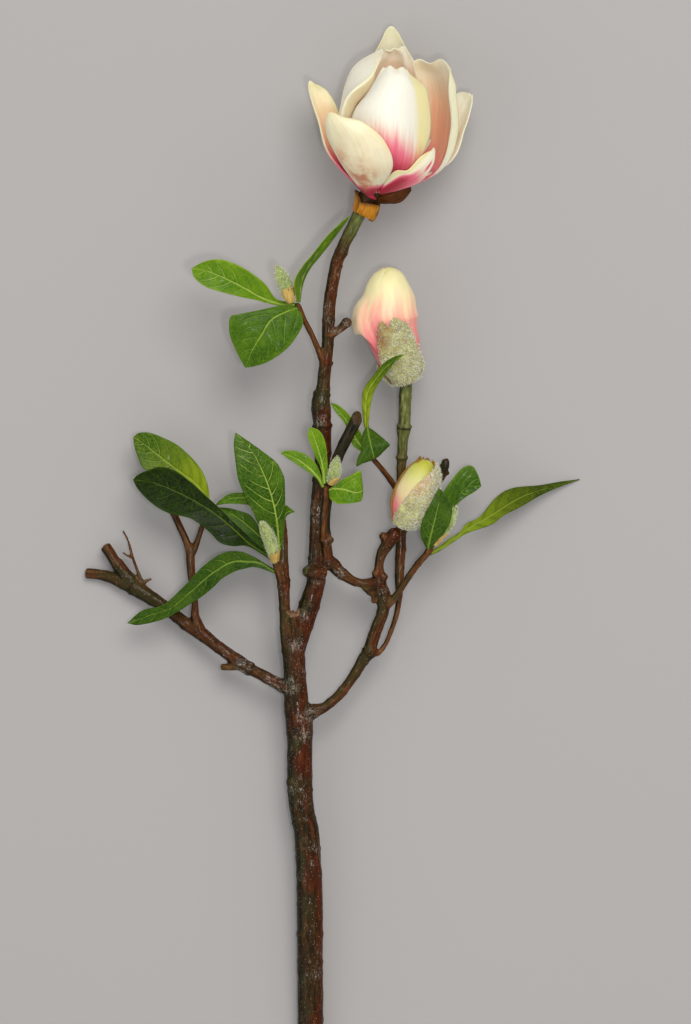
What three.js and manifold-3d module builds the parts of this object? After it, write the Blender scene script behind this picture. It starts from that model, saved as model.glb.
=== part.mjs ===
// Saucer magnolia branch, cut from its tree and laid on its back on a table.
// Millimetres, +Z up. +Y runs along the branch from the cut end to the open bloom.
// The origin is on the table, under the middle of the branch.
// Places are written [x, y, z]. A station on a stem or a bud is [x, y, z, radius].
// The left and right of a blade are as seen from above, looking from its base to its tip.

import * as THREE from 'three';
import Module from 'manifold-3d';

const wasm = await Module();
wasm.setup();

// Driving dimensions
const CUT_END_Y = -284.6;
const CUT_END_RADIUS = 7.05;
const REST_DEPTH = 0.5; // how deep the resting flat is cut into the round bark
const STEM_RISE = 0.078; // height gained along the stem, per millimetre of y
const CLEARANCE = 0.35; // gap between the bark and the foot of a leaf or a bud
const LEAF_THICKNESS = 0.8;
const LEAF_FOOT = 0.9; // half the width of a leaf stalk
const TEPAL_THICKNESS = 1.1;
const LEAF_ROWS = 7;
const LEAF_COLUMNS = 4;
const TEPAL_ROWS = 8;
const TEPAL_COLUMNS = 6;
const WRAP_ROWS = 8;
const WRAP_STEP = 25; // degrees round a bud from one column of its scales to the next
const UP = new THREE.Vector3(0, 0, 1);

// Finishes
const BARK = { color: 0x4a2013, roughness: 0.45 };
const LEAF = { color: 0x3f7a1c, roughness: 0.45 };
const DARK_LEAF = { color: 0x1d4a12, roughness: 0.4 };
const YOUNG_LEAF = { color: 0x7fa52b, roughness: 0.5 };
const TEPAL = { color: 0xf4e6c4, roughness: 0.55 };
const PINK_TEPAL = { color: 0xefb5a2, roughness: 0.55 };
const FUR = { color: 0xb9bf8e, roughness: 0.95 };
const BRACT = { color: 0xb8862b, roughness: 0.5 };
const BROWN_BRACT = { color: 0x5a2f10, roughness: 0.5 };

function stemHeight(y) {
  return CUT_END_RADIUS - REST_DEPTH + STEM_RISE * (y - CUT_END_Y);
}

function onStemLine(stations) {
  return stations.map(([x, y, radius]) => [x, y, stemHeight(y), radius]);
}

// Thick stem, from the cut end to the first fork
const TRUNK = onStemLine([
  [-11.3, -284.6, 7.05], [-11.3, -262, 7.05], [-11.5, -230, 7.1], [-11.7, -200, 7.2],
  [-12.3, -180, 7.1], [-13.5, -160, 6.9], [-15.6, -150, 6.8], [-16.9, -140, 6.95],
  [-17.2, -130, 7.1], [-17.3, -120, 7], [-17.2, -110, 7], [-17.5, -100, 7.5],
  [-19, -90, 7], [-19.5, -80, 6.4], [-20, -70, 6.1], [-20.6, -60, 6.2], [-20.5, -53, 4.6],
]);

// Stem that carries the bloom
const MAIN_STEM = onStemLine([
  [-20.2, -64, 4.6], [-17.5, -54, 5], [-15.5, -47, 5.2], [-13, -38, 5.7], [-10.5, -30, 5.5],
  [-8, -20, 5], [-8.3, -12, 4.4], [-8.5, -5, 3.8], [-8.1, 8, 3.7], [-7.5, 20, 3.8],
  [-5.9, 36, 4], [-4.2, 50, 4.5], [-4.8, 65, 4.9], [-5.2, 70, 5.3], [-5.5, 78, 5.1],
  [-4.3, 85, 3.8], [-3.6, 94, 3.6], [-2, 105, 3.2], [-1.6, 115, 3.5], [-1.1, 128, 3.5],
  [-0.3, 135, 3.5], [1.3, 145, 3.4], [3.5, 155, 3.5], [5.8, 160, 3.6], [7.7, 165, 3.4],
  [10.3, 170, 3.6], [12.8, 175, 3.6], [15.2, 180, 3.7], [17.5, 185, 3.9], [19.3, 188.5, 4.2],
]);

// The other stems and twigs, each from inside what carries it to its own end
const TWIGS = {
  left_stem: [
    [-22, -64, 23.9, 4.4], [-24.6, -52, 25.4, 3.4], [-25.5, -40, 26.8, 3], [-25.8, -30, 28, 3.2],
    [-26.3, -20, 29, 3.6], [-26.6, -10, 29.8, 3.2], [-26.5, 0, 30.4, 2.9], [-26.8, 8, 31, 2.6],
    [-27, 14, 31.5, 2.2],
  ],
  left_shoot: [
    [-26.5, -24, 28.8, 2.4], [-28.5, -17.5, 30.6, 2.2], [-30.2, -12, 33.4, 2], [-31, -8, 36.4, 1.8],
    [-31.3, -7, 37.6, 1.7],
  ],
  side_branch: [
    [-5, -10, 28.3, 4.4], [1, -12, 28.3, 4], [4, -15.5, 28, 3.5], [8, -18.5, 27.5, 3],
    [12, -21, 27, 2.6], [17, -22.5, 26.5, 2.5], [22, -23, 26, 3.6], [26, -23, 25.5, 4.8],
    [28.5, -26, 25, 4.2],
  ],
  node_stalk: [
    [-2, -10, 29, 3.4], [-2.2, -4, 31, 3], [-2.5, 0, 32.3, 2.9], [-2.3, 3, 33, 2.5],
  ],
  centre_twig: [
    [-4.6, 2.5, 34.2, 1.6], [-3.8, 14, 36.2, 1.6], [-2.9, 24, 38.8, 1.6], [-2.5, 29.5, 40.2, 2],
    [-2.4, 31.5, 40.8, 2.1],
  ],
  bud_shoot: [
    [26, -22, 26, 4], [26.5, -16.5, 27, 2.9], [26.5, -12, 27.6, 2.6], [28, -6, 28.6, 3],
    [31, -1, 29.6, 3.6], [34.5, 4, 30.5, 3.8], [36.6, 7.6, 31, 3.6],
  ],
  bud_shoot_spur: [[30, -1, 29.6, 2.4], [29, 3, 30, 1.9], [28.6, 4.8, 30.2, 1.4]],
  knot_spur: [[24.5, -27, 25.5, 2], [23.6, -32, 25, 1.6], [23.3, -33.8, 24.8, 1]],
  right_branch: [
    [-14, -96, 21.8, 4.4], [-10, -93, 21.8, 4], [-4, -91, 21.6, 2.9], [0, -88, 21.5, 2.7],
    [5, -83.5, 21.5, 2.8], [10, -77, 21.6, 2.8], [15, -69.5, 21.8, 3], [18, -64, 22, 3.4],
    [21, -60, 22.2, 3.7], [23.5, -52, 22.8, 3.4], [26, -45, 23.3, 3.4], [28, -40, 23.8, 3.3],
    [29, -34, 24.4, 3.6], [28.3, -28, 25, 4.2], [26.5, -23, 25.6, 4.4],
  ],
  right_twig: [
    [30.5, -35, 24.6, 2.2], [32.5, -33.5, 25.3, 2], [36, -29, 26.8, 2], [40, -23, 29, 1.9],
    [44, -17, 31, 1.9], [48, -11.5, 33.2, 1.9], [52, -7, 35.2, 1.9], [54.2, -4, 36.5, 2],
    [55.8, -1.9, 37.4, 1.5],
  ],
  pink_bud_stem: [
    [22.5, -61.5, 21.5, 1.7], [26, -61, 20.6, 1.5], [30, -56, 19.6, 1.4], [33, -49, 18.6, 1.4],
    [36, -40, 17.6, 1.6], [37.5, -30, 17, 1.9], [37.6, -20, 16.6, 2.6], [38, -10, 16.3, 2.8],
    [38.5, 0, 16.1, 2.9], [38.5, 20, 16.3, 2.6], [38.5, 38, 17.2, 2.5], [39, 45, 18, 2.8],
    [39.5, 55, 19.5, 2.9], [40, 61, 20.6, 3.7], [40.4, 66, 21.4, 3.4], [40.7, 76, 23.3, 3.5],
    [41.2, 86, 25.3, 3.5],
  ],
  reddish_twig: [
    [38.5, 25, 16.6, 2], [35, 31, 20.5, 1.8], [30, 38, 26, 1.6], [25, 44, 30.5, 1.5],
    [21, 49, 33.3, 1.4], [20, 55, 35.5, 1.4], [19.9, 62, 38, 1.6],
  ],
  dried_bud_twig: [
    [38.5, 4, 16.2, 2], [43, 9, 17, 1.2], [48, 15, 18.5, 1.1], [53, 21.5, 21.5, 1.1],
    [57, 28, 24.5, 1.1], [60, 33.5, 27, 1.4], [61.5, 38, 28.3, 2.3], [63.2, 43.5, 29.2, 2.1],
    [64.2, 46.5, 29.6, 0.9],
  ],
  upper_left_twig: [
    [-3.8, 96, 36.8, 2.2], [-5.5, 102, 38.2, 1.8], [-9.5, 112, 41, 1.6], [-13, 119, 42.8, 1.6],
    [-15.5, 124, 44, 1.6], [-18, 129.5, 45, 1.9], [-19.5, 131.5, 45.4, 1.6],
  ],
  round_spur: [
    [-1.5, 114.5, 38.5, 1.9], [2, 115.5, 39.4, 1.7], [6, 118.5, 40.6, 1.5], [8, 120.2, 41.2, 1.6],
  ],
  left_branch: [
    [-19.5, -79, 22.6, 5], [-24, -79.6, 22.2, 4.5], [-30, -77.3, 21, 3.5], [-40, -72, 19.2, 3.2],
    [-45, -69.5, 18.4, 3.3], [-50, -66.5, 17.6, 4.1], [-56, -62, 16.4, 3.5], [-63, -57, 15, 3.4],
    [-70, -51.5, 13.5, 3.7], [-78, -46.5, 12, 3.5], [-86, -40, 10.4, 3.4], [-94, -34, 8.9, 3.6],
    [-101, -29.5, 7.6, 4], [-108, -25, 6.4, 4.7], [-112, -22.5, 5.6, 4.2],
  ],
  lower_prong: [
    [-108, -25, 6.2, 4.3], [-114, -22.5, 5.3, 3.8], [-121, -19.5, 4.4, 3.3],
    [-128, -17.7, 3.6, 2.9], [-135.9, -17, 3, 3],
  ],
  upper_prong: [
    [-109, -23, 6.2, 4.2], [-113.5, -18, 6.6, 3.8], [-117, -13, 7, 3.5], [-119.5, -10, 7.2, 3],
    [-121.5, -6.5, 7.4, 3], [-125.2, -1.5, 7.6, 3.2],
  ],
  branch_stub: [
    [-49, -67, 17.6, 2.8], [-53, -68.5, 17.2, 2], [-57, -68.8, 16.8, 1.9], [-61, -68.5, 16.4, 2],
  ],
  upright_twig: [
    [-71.5, -50.5, 13.4, 3.4], [-73.5, -45, 14, 3], [-75, -40, 14.2, 2.4], [-75, -33, 14.3, 1.9],
    [-76.3, -25, 14.3, 1.9], [-77, -18, 14.2, 2.2], [-77.5, -10, 14, 2.5], [-77.6, -5, 14, 2.4],
  ],
  upright_left_prong: [
    [-77.8, -7, 14, 2.2], [-79.5, 0, 13.8, 2.1], [-84, 10, 13.4, 2], [-88, 19, 13, 2.1],
  ],
  upright_right_prong: [
    [-77, -7, 14.2, 2], [-75, -3, 14.3, 1.8], [-71, 9, 14.5, 1.5], [-67.5, 21.5, 15, 1.5],
  ],
  pale_twig: [
    [-104, -23, 7.8, 1.4], [-107, -15, 8.6, 0.9], [-109.5, -8, 9.2, 0.9], [-112, 1, 9.8, 0.75],
    [-115, 7, 10.2, 0.6],
  ],
  pale_twig_fork: [[-109.3, -8.5, 9.2, 0.75], [-112, -7.5, 9.3, 0.7], [-115.5, -5, 9.6, 0.6]],
  pale_twig_spur: [[-103.5, -22.5, 7.9, 1.2], [-101, -20.8, 8.2, 0.9], [-98.5, -20, 8.4, 0.7]],
};

// Stubs with a broken or a slanting end
const TORN_STUB = [[-19, -54, 25, 3.6], [-19.2, -46, 27, 3.5], [-20.4, -39.5, 28.4, 3.4]];
const DARK_STUB = [
  [-2.4, 0, 32, 2.7], [-3, 12, 32.6, 2.6], [-2, 22, 33.6, 2.6], [-0.5, 34, 35, 2.8],
  [3.5, 46, 37.2, 3], [8, 56, 39.2, 3.2], [12.5, 64.5, 41, 3.3], [14.7, 69, 41.8, 3.3],
];

// Round swellings where a stem forks or has healed: x, y, z, radius
const SWELLINGS = [
  [-21.3, -132.5, 20, 4.2], [-9, -16, 27.6, 5.4], [-12.6, -16, 28.6, 3.4], [-7.4, 74, 36, 3.4],
  [-3.2, 69, 36.4, 3.3], [13.3, -22.6, 26.8, 1.9], [21.8, -26.4, 25.5, 3], [40, -4, 16.6, 1.9],
  [9, 121, 41.5, 2.5],
];

const LEAVES = {
  leaf_upper_left_outer: {
    finish: LEAF, lift: [0.1, 0.22],
    mid: [
      [-19, 130.6, 44.4], [-27, 131, 45.6], [-38, 134.5, 48.4], [-48, 140, 51.3], [-58, 145, 53],
      [-68, 149, 53], [-76.5, 150.5, 51.5],
    ],
    left: [[-30, 130.3], [-38, 132.8], [-48, 134.5], [-60, 137.5], [-69, 140.5], [-75, 145.5]],
    right: [[-30, 134], [-36, 142], [-46, 149.5], [-55, 154], [-62, 155.5], [-70, 154]],
  },
  leaf_upper_left_broad: {
    finish: LEAF, lift: [-0.12, 0.08],
    mid: [
      [-18.6, 128.6, 46.8], [-25, 126.5, 49.5], [-33, 122, 52], [-38, 114, 53], [-43, 106, 51],
      [-47, 96, 47],
    ],
    left: [[-16.5, 126], [-15.5, 119.5], [-21, 110], [-27, 104], [-35, 99], [-42, 96.8]],
    right: [
      [-28, 130], [-40, 127.5], [-50, 125.5], [-55, 124], [-56, 119], [-55.5, 114], [-54, 109.5],
      [-51, 103], [-48, 97.5],
    ],
  },
  leaf_upper_left_edge: {
    finish: LEAF, lift: [3, -3],
    mid: [
      [-17.8, 132, 44.6], [-17, 138, 46], [-15, 147, 48], [-9.5, 156, 50], [-3, 164.5, 51],
      [4, 173, 51], [10.2, 179.3, 50.5],
    ],
    left: [[-20, 143], [-15.6, 151.5], [-10.4, 158], [-4.8, 165], [2, 172.4], [8, 178]],
    right: [[-15.6, 141], [-11.6, 150], [-6.4, 157], [-1.4, 163], [4.4, 170.6], [9, 177]],
  },
  leaf_left_upright: {
    finish: DARK_LEAF, lift: [0.12, 0.16],
    mid: [
      [-27.8, -5, 32], [-28.5, -1, 34], [-29.3, 8, 37], [-30.8, 18, 39.5], [-34, 30, 42],
      [-38.5, 41, 43.5], [-44, 51, 44], [-52.5, 60.3, 43],
    ],
    left: [
      [-31.5, -2], [-35, 3], [-40, 10], [-43, 17], [-47, 25], [-51, 35], [-52.5, 45], [-53.4, 54],
    ],
    right: [
      [-26.4, 1], [-25.7, 8], [-25.2, 20], [-25.3, 33], [-26.5, 38], [-30, 44], [-37, 49.5],
      [-45, 55],
    ],
  },
  leaf_left_dark: {
    finish: DARK_LEAF, lift: [0.14, 0.1],
    mid: [
      [-30.4, -10.5, 32], [-36, -6.5, 32.6], [-45, -0.5, 34], [-52, 6, 35.5], [-60, 13, 35.5],
      [-70, 20, 34.5], [-85, 28, 32], [-98, 33, 30], [-109, 34.5, 28],
    ],
    left: [
      [-40, -5], [-47, -1.8], [-54, -2], [-61, 0], [-66, 5], [-72, 10], [-78, 13.5],
      [-90, 16.5], [-99, 22], [-106, 29],
    ],
    right: [
      [-36, -4.6], [-40, -1.5], [-48, 6], [-58, 16], [-68, 25], [-78, 34], [-87, 40],
      [-94, 41.5], [-100, 40], [-106, 37.5],
    ],
  },
  leaf_left_wavy: {
    finish: DARK_LEAF, lift: [0.1, 0.25], wave: [1.3, 3], rows: 12,
    mid: [
      [-28.8, -17, 31], [-33, -15, 31], [-38.5, -11.5, 30.5], [-46, -10.5, 30], [-55, -11, 29],
      [-66, -17.5, 27.5], [-77, -27, 25.5], [-88, -36, 23.5], [-98, -39.5, 21.5],
      [-112, -44.5, 18.5],
    ],
    left: [
      [-35, -15.4], [-42, -13.5], [-48, -14.5], [-53, -16], [-60, -20], [-64, -24], [-70, -29],
      [-77, -33.5], [-84, -38], [-93, -42.5], [-106, -45.5],
    ],
    right: [
      [-35, -12.4], [-42, -8], [-50, -5], [-60, -6], [-71, -13.5], [-80, -23], [-92, -34],
      [-104, -37.5],
    ],
  },
  leaf_left_back: {
    finish: YOUNG_LEAF, lift: [0.1, 0.1],
    mid: [
      [-67.6, 21, 15.2], [-70, 26.5, 17], [-75, 33, 19], [-86, 41, 21], [-95, 48, 21],
      [-104, 55, 20], [-109, 58, 19],
    ],
    left: [[-72, 25], [-82, 30], [-95, 37], [-103, 40.5], [-106, 46], [-108.4, 53]],
    right: [
      [-67.2, 28], [-69, 35], [-72, 41], [-78, 48], [-85, 54], [-93, 58], [-100, 60.5],
      [-106, 60.3],
    ],
  },
  leaf_left_hidden: {
    finish: DARK_LEAF, lift: [0.1, 0.1],
    mid: [
      [-28.5, -6, 29], [-33, -3, 28], [-40, 4, 26.6], [-48, 11, 25.6], [-56, 16.5, 25],
      [-64, 19.3, 24.6],
    ],
    left: [[-38, -4], [-46, 3], [-54, 9], [-61, 15]],
    right: [[-33, 0.5], [-38, 5], [-41, 11], [-45, 15.5], [-50, 17.3], [-57, 19.2]],
  },
  leaf_left_arched: {
    finish: LEAF, lift: [0.1, 0.1],
    mid: [
      [-27.8, 13.6, 31], [-33, 18, 33], [-40, 23, 34.5], [-48, 24.5, 34.5], [-56, 24, 33],
      [-64, 20.3, 31],
    ],
    left: [[-34, 15.5], [-44, 20], [-48, 21], [-57, 21.3]],
    right: [[-33, 21.5], [-43, 26], [-47, 27.4], [-55, 27], [-60, 24.3]],
  },
  leaf_left_short: {
    finish: LEAF, lift: [0, 0],
    mid: [[-26, 12.8, 32], [-24.4, 16, 34], [-22, 17.6, 35], [-19.6, 17, 35]],
    left: [[-26, 18.4], [-24, 20.4], [-21.3, 19.4]],
    right: [[-24, 14], [-22.6, 14.6], [-20.8, 15.8]],
  },
  leaf_centre_upright: {
    finish: YOUNG_LEAF, lift: [0.2, 0.2],
    mid: [[-3.6, 32.4, 42.2], [-4.2, 40, 43.4], [-6, 48, 45.4], [-9, 57, 46.8], [-11.5, 63.5, 46.8]],
    left: [[-5, 40], [-8.5, 47], [-10.8, 53], [-12.9, 59]],
    right: [[-1.8, 41], [-2, 46], [-2.5, 52], [-4, 58], [-7, 62]],
  },
  leaf_centre_left: {
    finish: YOUNG_LEAF, lift: [0.15, 0.1],
    mid: [
      [-4, 30.5, 39.6], [-8, 37, 41.4], [-15, 43.5, 42.2], [-22, 47.5, 42.4], [-27.5, 49, 42],
    ],
    left: [[-6.4, 33], [-9, 36.4], [-15, 40.6], [-22, 45]],
    right: [[-5.4, 36.5], [-7, 41], [-9.6, 45], [-14, 48.5], [-20, 50.5], [-25.5, 50.4]],
  },
  leaf_centre_right: {
    finish: YOUNG_LEAF, lift: [0.05, 0.05], rows: 12,
    mid: [
      [-1, 28.6, 41.2], [2, 29.6, 42.6], [8, 29, 45.2], [13.5, 27.5, 45.8], [17.4, 28.6, 43.6],
      [15.4, 29.6, 40.8], [11, 29.6, 39.6],
    ],
    left: [[2, 31.2], [6, 34.5], [11, 37], [15.8, 39.6], [16.4, 37], [13.6, 33]],
    right: [[-0.6, 24.5], [3, 21.5], [8, 21.3], [14, 22], [16.6, 23], [15.6, 25.4], [13, 28]],
  },
  leaf_right_tall: {
    finish: YOUNG_LEAF, lift: [-1, 1],
    mid: [
      [19.5, 62.8, 37.4], [19.4, 67, 38.6], [19.3, 75, 40.8], [20.5, 83, 43.4], [25, 90, 45.6],
      [31, 97, 47.4], [40, 103.3, 48.4],
    ],
    left: [[17.8, 67], [17.2, 72], [17, 80], [18.6, 85.6], [22.8, 91.4], [28, 97.4], [34, 101.6]],
    right: [[20.8, 67], [21.5, 74], [23, 81], [27, 88.5], [32, 95], [36, 100]],
  },
  leaf_right_folded: {
    finish: DARK_LEAF, lift: [0, 0], rows: 12,
    mid: [
      [20.2, 63, 39.5], [21, 58, 42.8], [22.4, 52, 45.4], [23.4, 47.6, 44.6], [23.8, 46, 42.4],
      [23.6, 48, 39.8], [23.4, 51.4, 38.8],
    ],
    left: [[23.4, 61.6], [29, 57], [32.3, 53.8], [30, 51.6], [27, 50.6]],
    right: [[18.2, 61.8], [17, 58], [16.5, 51], [14.5, 46], [13.9, 41.7], [16.6, 44], [20, 48.4]],
  },
  leaf_right_back: {
    finish: YOUNG_LEAF, lift: [0.3, 0.3],
    mid: [
      [19.6, 50.6, 34.2], [17, 52.4, 33], [14, 56.8, 32.4], [10.5, 64, 32.6], [6, 70.5, 33],
      [0, 76.8, 33],
    ],
    left: [[15, 51], [11.6, 54.4], [8, 64.6], [4, 70], [1.4, 73.6]],
    right: [[17.6, 56], [16.5, 60.4], [13, 66], [9.6, 71], [4.4, 75.4]],
  },
  leaf_far_right_upright: {
    finish: DARK_LEAF, lift: [0.1, 0.16],
    mid: [
      [53.6, -3.6, 38], [53.8, -1, 40.6], [55.4, 6, 43.4], [57.4, 14, 44.4], [59.2, 22, 45],
      [59.3, 30, 44.6],
    ],
    left: [[50.8, 0], [49.5, 3], [49.2, 8], [51, 14], [55, 22], [57.6, 27]],
    right: [[58, 1], [62, 5], [65, 10], [66.5, 16], [66, 21], [62.4, 27]],
  },
  leaf_far_right_behind: {
    finish: LEAF, lift: [0.08, 0.08],
    mid: [
      [54.8, -3, 35.4], [57, 0, 34.2], [62, 10, 33.4], [68, 22, 34.4], [75, 30.5, 34.6],
      [82.7, 31, 33.6],
    ],
    left: [[54.8, 6], [58, 18], [62, 28], [66, 34], [71, 40], [75, 42.3], [78.5, 41.5], [81.4, 36]],
    right: [[60, 3], [64, 12], [68, 20], [73, 24.4], [79, 28]],
  },
  leaf_far_right_long: {
    finish: YOUNG_LEAF, lift: [0.2, 0.1], rows: 10,
    mid: [
      [54.4, -6.2, 34], [60, -3.4, 32.6], [67, 1.6, 30.8], [76, 8, 27.8], [88, 14.8, 22.8],
      [104, 24.6, 14.6], [120, 30.2, 6.8], [137.2, 34.8, 0.4],
    ],
    left: [
      [60, -1.6], [66, 2.8], [71, 5.8], [74.5, 10.4], [82, 14.4], [91, 25], [100, 30], [115, 31.6],
      [128, 33.8],
    ],
    right: [[62, -3.4], [68, 0.6], [75, 5], [88, 9.6], [95, 14.6], [105, 19.8], [115, 25.6], [127, 31]],
  },
};

// Tepals of the open bloom, each by its left margin, its middle line and its right margin
const TEPALS = {
  back: {
    left: [[19, 191, 41], [6, 222, 22], [12, 251, 12], [24.4, 272, 12], [31, 283.6, 15]],
    mid: [[22, 191, 40], [27, 222, 9], [31, 252, 0.2], [33, 270, 5], [33.2, 284.6, 15]],
    right: [[25, 191, 41], [54, 218, 22], [56, 248, 12], [44, 270, 12], [35.4, 283.6, 15]],
  },
  inner_back: {
    left: [[20, 192, 42], [13, 220, 28], [17, 246, 25], [28, 268, 32], [35, 272.4, 34]],
    mid: [[22.5, 192, 40], [28, 220, 17], [32, 250, 16], [36, 268, 26], [37.5, 272.8, 33]],
    right: [[25, 192, 42], [44, 220, 25], [48, 246, 23], [46, 266, 31], [40, 272.4, 34]],
  },
  left: {
    left: [[19, 192, 41], [10, 215, 19], [10, 240, 15], [17, 260, 22], [27, 270.6, 33]],
    mid: [[19, 193, 44], [5, 218, 36], [5.4, 240, 37], [12, 260, 40], [28.4, 271, 38]],
    right: [[20, 193, 48], [9, 222, 60], [13, 244, 62], [21, 258, 55], [29.6, 269.6, 42]],
  },
  front: {
    left: [[21, 193, 48], [11, 215, 62], [11, 236, 66], [20, 251, 66], [32, 260.4, 66]],
    mid: [[24, 193, 49.4], [29, 214, 73], [31, 238, 79], [35, 254, 74], [36.6, 260.8, 67.4]],
    right: [[27, 193, 47.6], [46, 210, 60], [51.5, 230, 59], [53, 248, 60], [42.4, 260, 66]],
  },
  right_back: {
    left: [[26, 192, 42], [38, 216, 22], [41, 240, 15], [42, 256, 19], [43, 265, 28]],
    mid: [[28, 192, 42], [53, 210, 26], [60, 238, 21], [58, 256, 24], [55, 265, 31]],
    right: [[30, 193, 45], [63, 208, 44], [69.6, 235, 44], [69, 254, 45], [64, 265.6, 42]],
  },
  far_right: {
    left: [[28, 191, 39], [50, 212, 15], [60, 233, 11], [69, 247, 18], [76.6, 247, 26]],
    mid: [[30, 191, 42], [58, 209, 26], [69, 228, 21], [74, 240, 22], [77.5, 246.6, 26]],
    right: [[31, 192, 45], [65, 208, 35], [74, 228, 32], [77.5, 240, 30], [78, 246, 27]],
  },
  far_left: {
    left: [[19, 191, 46], [-2, 214, 47], [-8.4, 234, 44], [-12, 247, 39], [-12.2, 253, 36]],
    mid: [[19, 191, 43], [0, 214, 36], [-4, 232, 31], [-9, 246, 31], [-11.8, 253.6, 35]],
    right: [[20, 191, 40], [6, 216, 24], [3, 236, 22], [-3, 249, 27], [-10.8, 253.4, 34]],
  },
  front_left: {
    left: [[18.4, 191, 45.6], [6, 206, 58], [-2, 220, 66], [-3.8, 229, 72], [-2.4, 234.2, 76]],
    mid: [[20.6, 190.4, 48], [17, 204, 70], [12, 218, 79], [6, 228, 82], [0.6, 235, 79]],
    right: [[23, 190.6, 48.4], [33.5, 206, 70], [29, 220, 80], [18, 229.4, 83], [6, 233.4, 80]],
  },
  front_right: {
    left: [[23.6, 193.4, 49], [35, 203.6, 66], [42, 204.2, 69], [49, 211.6, 69], [55.6, 215.8, 64]],
    mid: [[24.6, 191.4, 47.6], [38, 198.6, 63], [46, 201.8, 66], [52.4, 208.4, 66], [56.6, 216, 63]],
    right: [[25.4, 190.4, 45], [40, 195.4, 55], [50, 199.6, 59], [55.6, 207.4, 61], [57.4, 215, 62]],
  },
};

// Scales at the foot of the bloom
const CUP_BRACT = {
  stations: [
    [15.4, 179.4, 43, 4.3], [18, 181.6, 43.3, 5.7], [19.8, 185.6, 43.9, 6],
    [20.3, 190, 44.4, 6.3], [20.5, 194, 44.8, 6.6],
  ],
  wraps: [
    { from: 0.02, to: 0.98, centre: 186, half: 112, power: 1.8, inner: 0.4, outer: 1.3, rows: 5 },
    { from: 0.02, to: 0.62, centre: 354, half: 112, power: 1.8, inner: 0.3, outer: 1.2, rows: 4 },
  ],
};
const BROWN_BRACT_BLADE = {
  left: [[28.3, 189.8, 44], [34, 190.6, 50], [40, 195, 52], [43.4, 196.6, 51]],
  mid: [[27.9, 187.8, 43], [34, 188, 49], [40.6, 191.6, 51], [44.2, 195.8, 50.4]],
  right: [[27.6, 186.7, 41], [33.6, 186.4, 45], [39.6, 187.8, 47], [44.4, 193.6, 49]],
};

// Buds: stations along the axis, then the tepals or scales wrapped round it.
// A wrap runs from one share of the axis to another, centred on an angle seen along the
// axis: 0 is the right, 90 the front, 180 the left and 270 the back. half is half its
// angle at the widest, power its bluntness at the tip.
const PINK_BUD = {
  stations: [
    [41.4, 87.2, 25.6, 2.6], [40.2, 91.4, 26.2, 6.6], [38.6, 98, 27, 10.4], [36, 106, 28, 12.4],
    [33.2, 115, 29, 13.8], [31, 123.5, 30, 16.2], [31.6, 133, 31, 14], [31.6, 141, 31.8, 11],
    [32, 147, 32.4, 7.4], [32.2, 151.4, 32.8, 1.8],
  ],
  wraps: [
    { from: 0.08, to: 0.93, centre: 165, half: 78, power: 3, inner: -0.8, outer: 1.3 },
    { from: 0.08, to: 0.96, centre: 35, half: 74, power: 3, inner: -0.8, outer: 0.9 },
    { from: 0.08, to: 0.97, centre: 280, half: 74, power: 3, inner: -0.8, outer: 0.6 },
  ],
};
const PINK_BUD_SCALES = [
  { from: 0.02, to: 0.56, centre: 90, half: 64, power: 1.3, inner: 2.6, outer: 3.5 },
  { from: 0.02, to: 0.36, centre: 268, half: 114, power: 0.8, inner: 2.7, outer: 3.6, rows: 5 },
];
const SMALL_BUD = {
  stations: [
    [37.4, 9, 31.2, 2.4], [38.8, 11.6, 31.6, 5.2], [41.4, 16, 32.4, 8.4], [44.2, 23, 33.4, 9.9],
    [47, 30.5, 34.4, 9.5], [50.2, 37.5, 35.4, 7.6], [52.4, 42.4, 36.1, 4.6],
    [53.6, 45, 36.6, 0.9],
  ],
  wraps: [
    { from: 0.08, to: 0.95, centre: 170, half: 78, power: 3, inner: -0.8, outer: 0.9 },
    { from: 0.08, to: 0.97, centre: 300, half: 76, power: 3, inner: -0.8, outer: 0.6 },
  ],
};
const SMALL_BUD_SCALES = [
  { from: 0.02, to: 0.96, centre: 0, half: 126, power: 1.6, inner: 2.1, outer: 3 },
];

// Furry leaf buds, each with an ochre scale at its foot
const LEAF_BUDS = {
  leaf_bud_upper_left: {
    stations: [
      [-21.9, 131.9, 48.2, 1.7], [-23.3, 135.8, 49.4, 3.1], [-25.1, 141.5, 50.6, 3.8],
      [-27.6, 147, 51.6, 3.2], [-29.7, 151.4, 52.6, 1.1],
    ],
    wraps: [{ from: 0.02, to: 0.5, centre: 80, half: 90, power: 2, inner: -0.6, outer: 0.6, rows: 4 }],
  },
  leaf_bud_left: {
    stations: [
      [-31.4, -6.4, 38.2, 1.7], [-32.3, -2.6, 40.4, 3.1], [-34.2, 2.4, 42.6, 3.6],
      [-36.2, 7, 44.4, 3], [-37.9, 11, 45.8, 1],
    ],
    wraps: [{ from: 0.02, to: 0.35, centre: 150, half: 100, power: 2, inner: -0.6, outer: 0.9, rows: 4 }],
  },
  leaf_bud_centre: {
    stations: [
      [-0.6, 32.6, 42.6, 1.6], [0.9, 35.8, 44.2, 3], [2.1, 39.6, 45.4, 3.3],
      [2.7, 43.6, 46.4, 2.5], [3.5, 46.8, 47.2, 0.7],
    ],
    wraps: [{ from: 0.02, to: 0.35, centre: 20, half: 90, power: 2, inner: -0.6, outer: 0.8, rows: 4 }],
  },
  leaf_bud_right: {
    stations: [
      [56.4, -1.4, 37.6, 1.2], [59, 2, 37.9, 1.8], [62.4, 7, 38.6, 2.6], [66, 13.6, 39.4, 2.9],
      [68.9, 19.6, 40, 0.6],
    ],
    wraps: [{ from: 0.02, to: 0.5, centre: 0, half: 100, power: 2, inner: -0.6, outer: 0.5, rows: 4 }],
  },
};

// Solids

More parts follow.
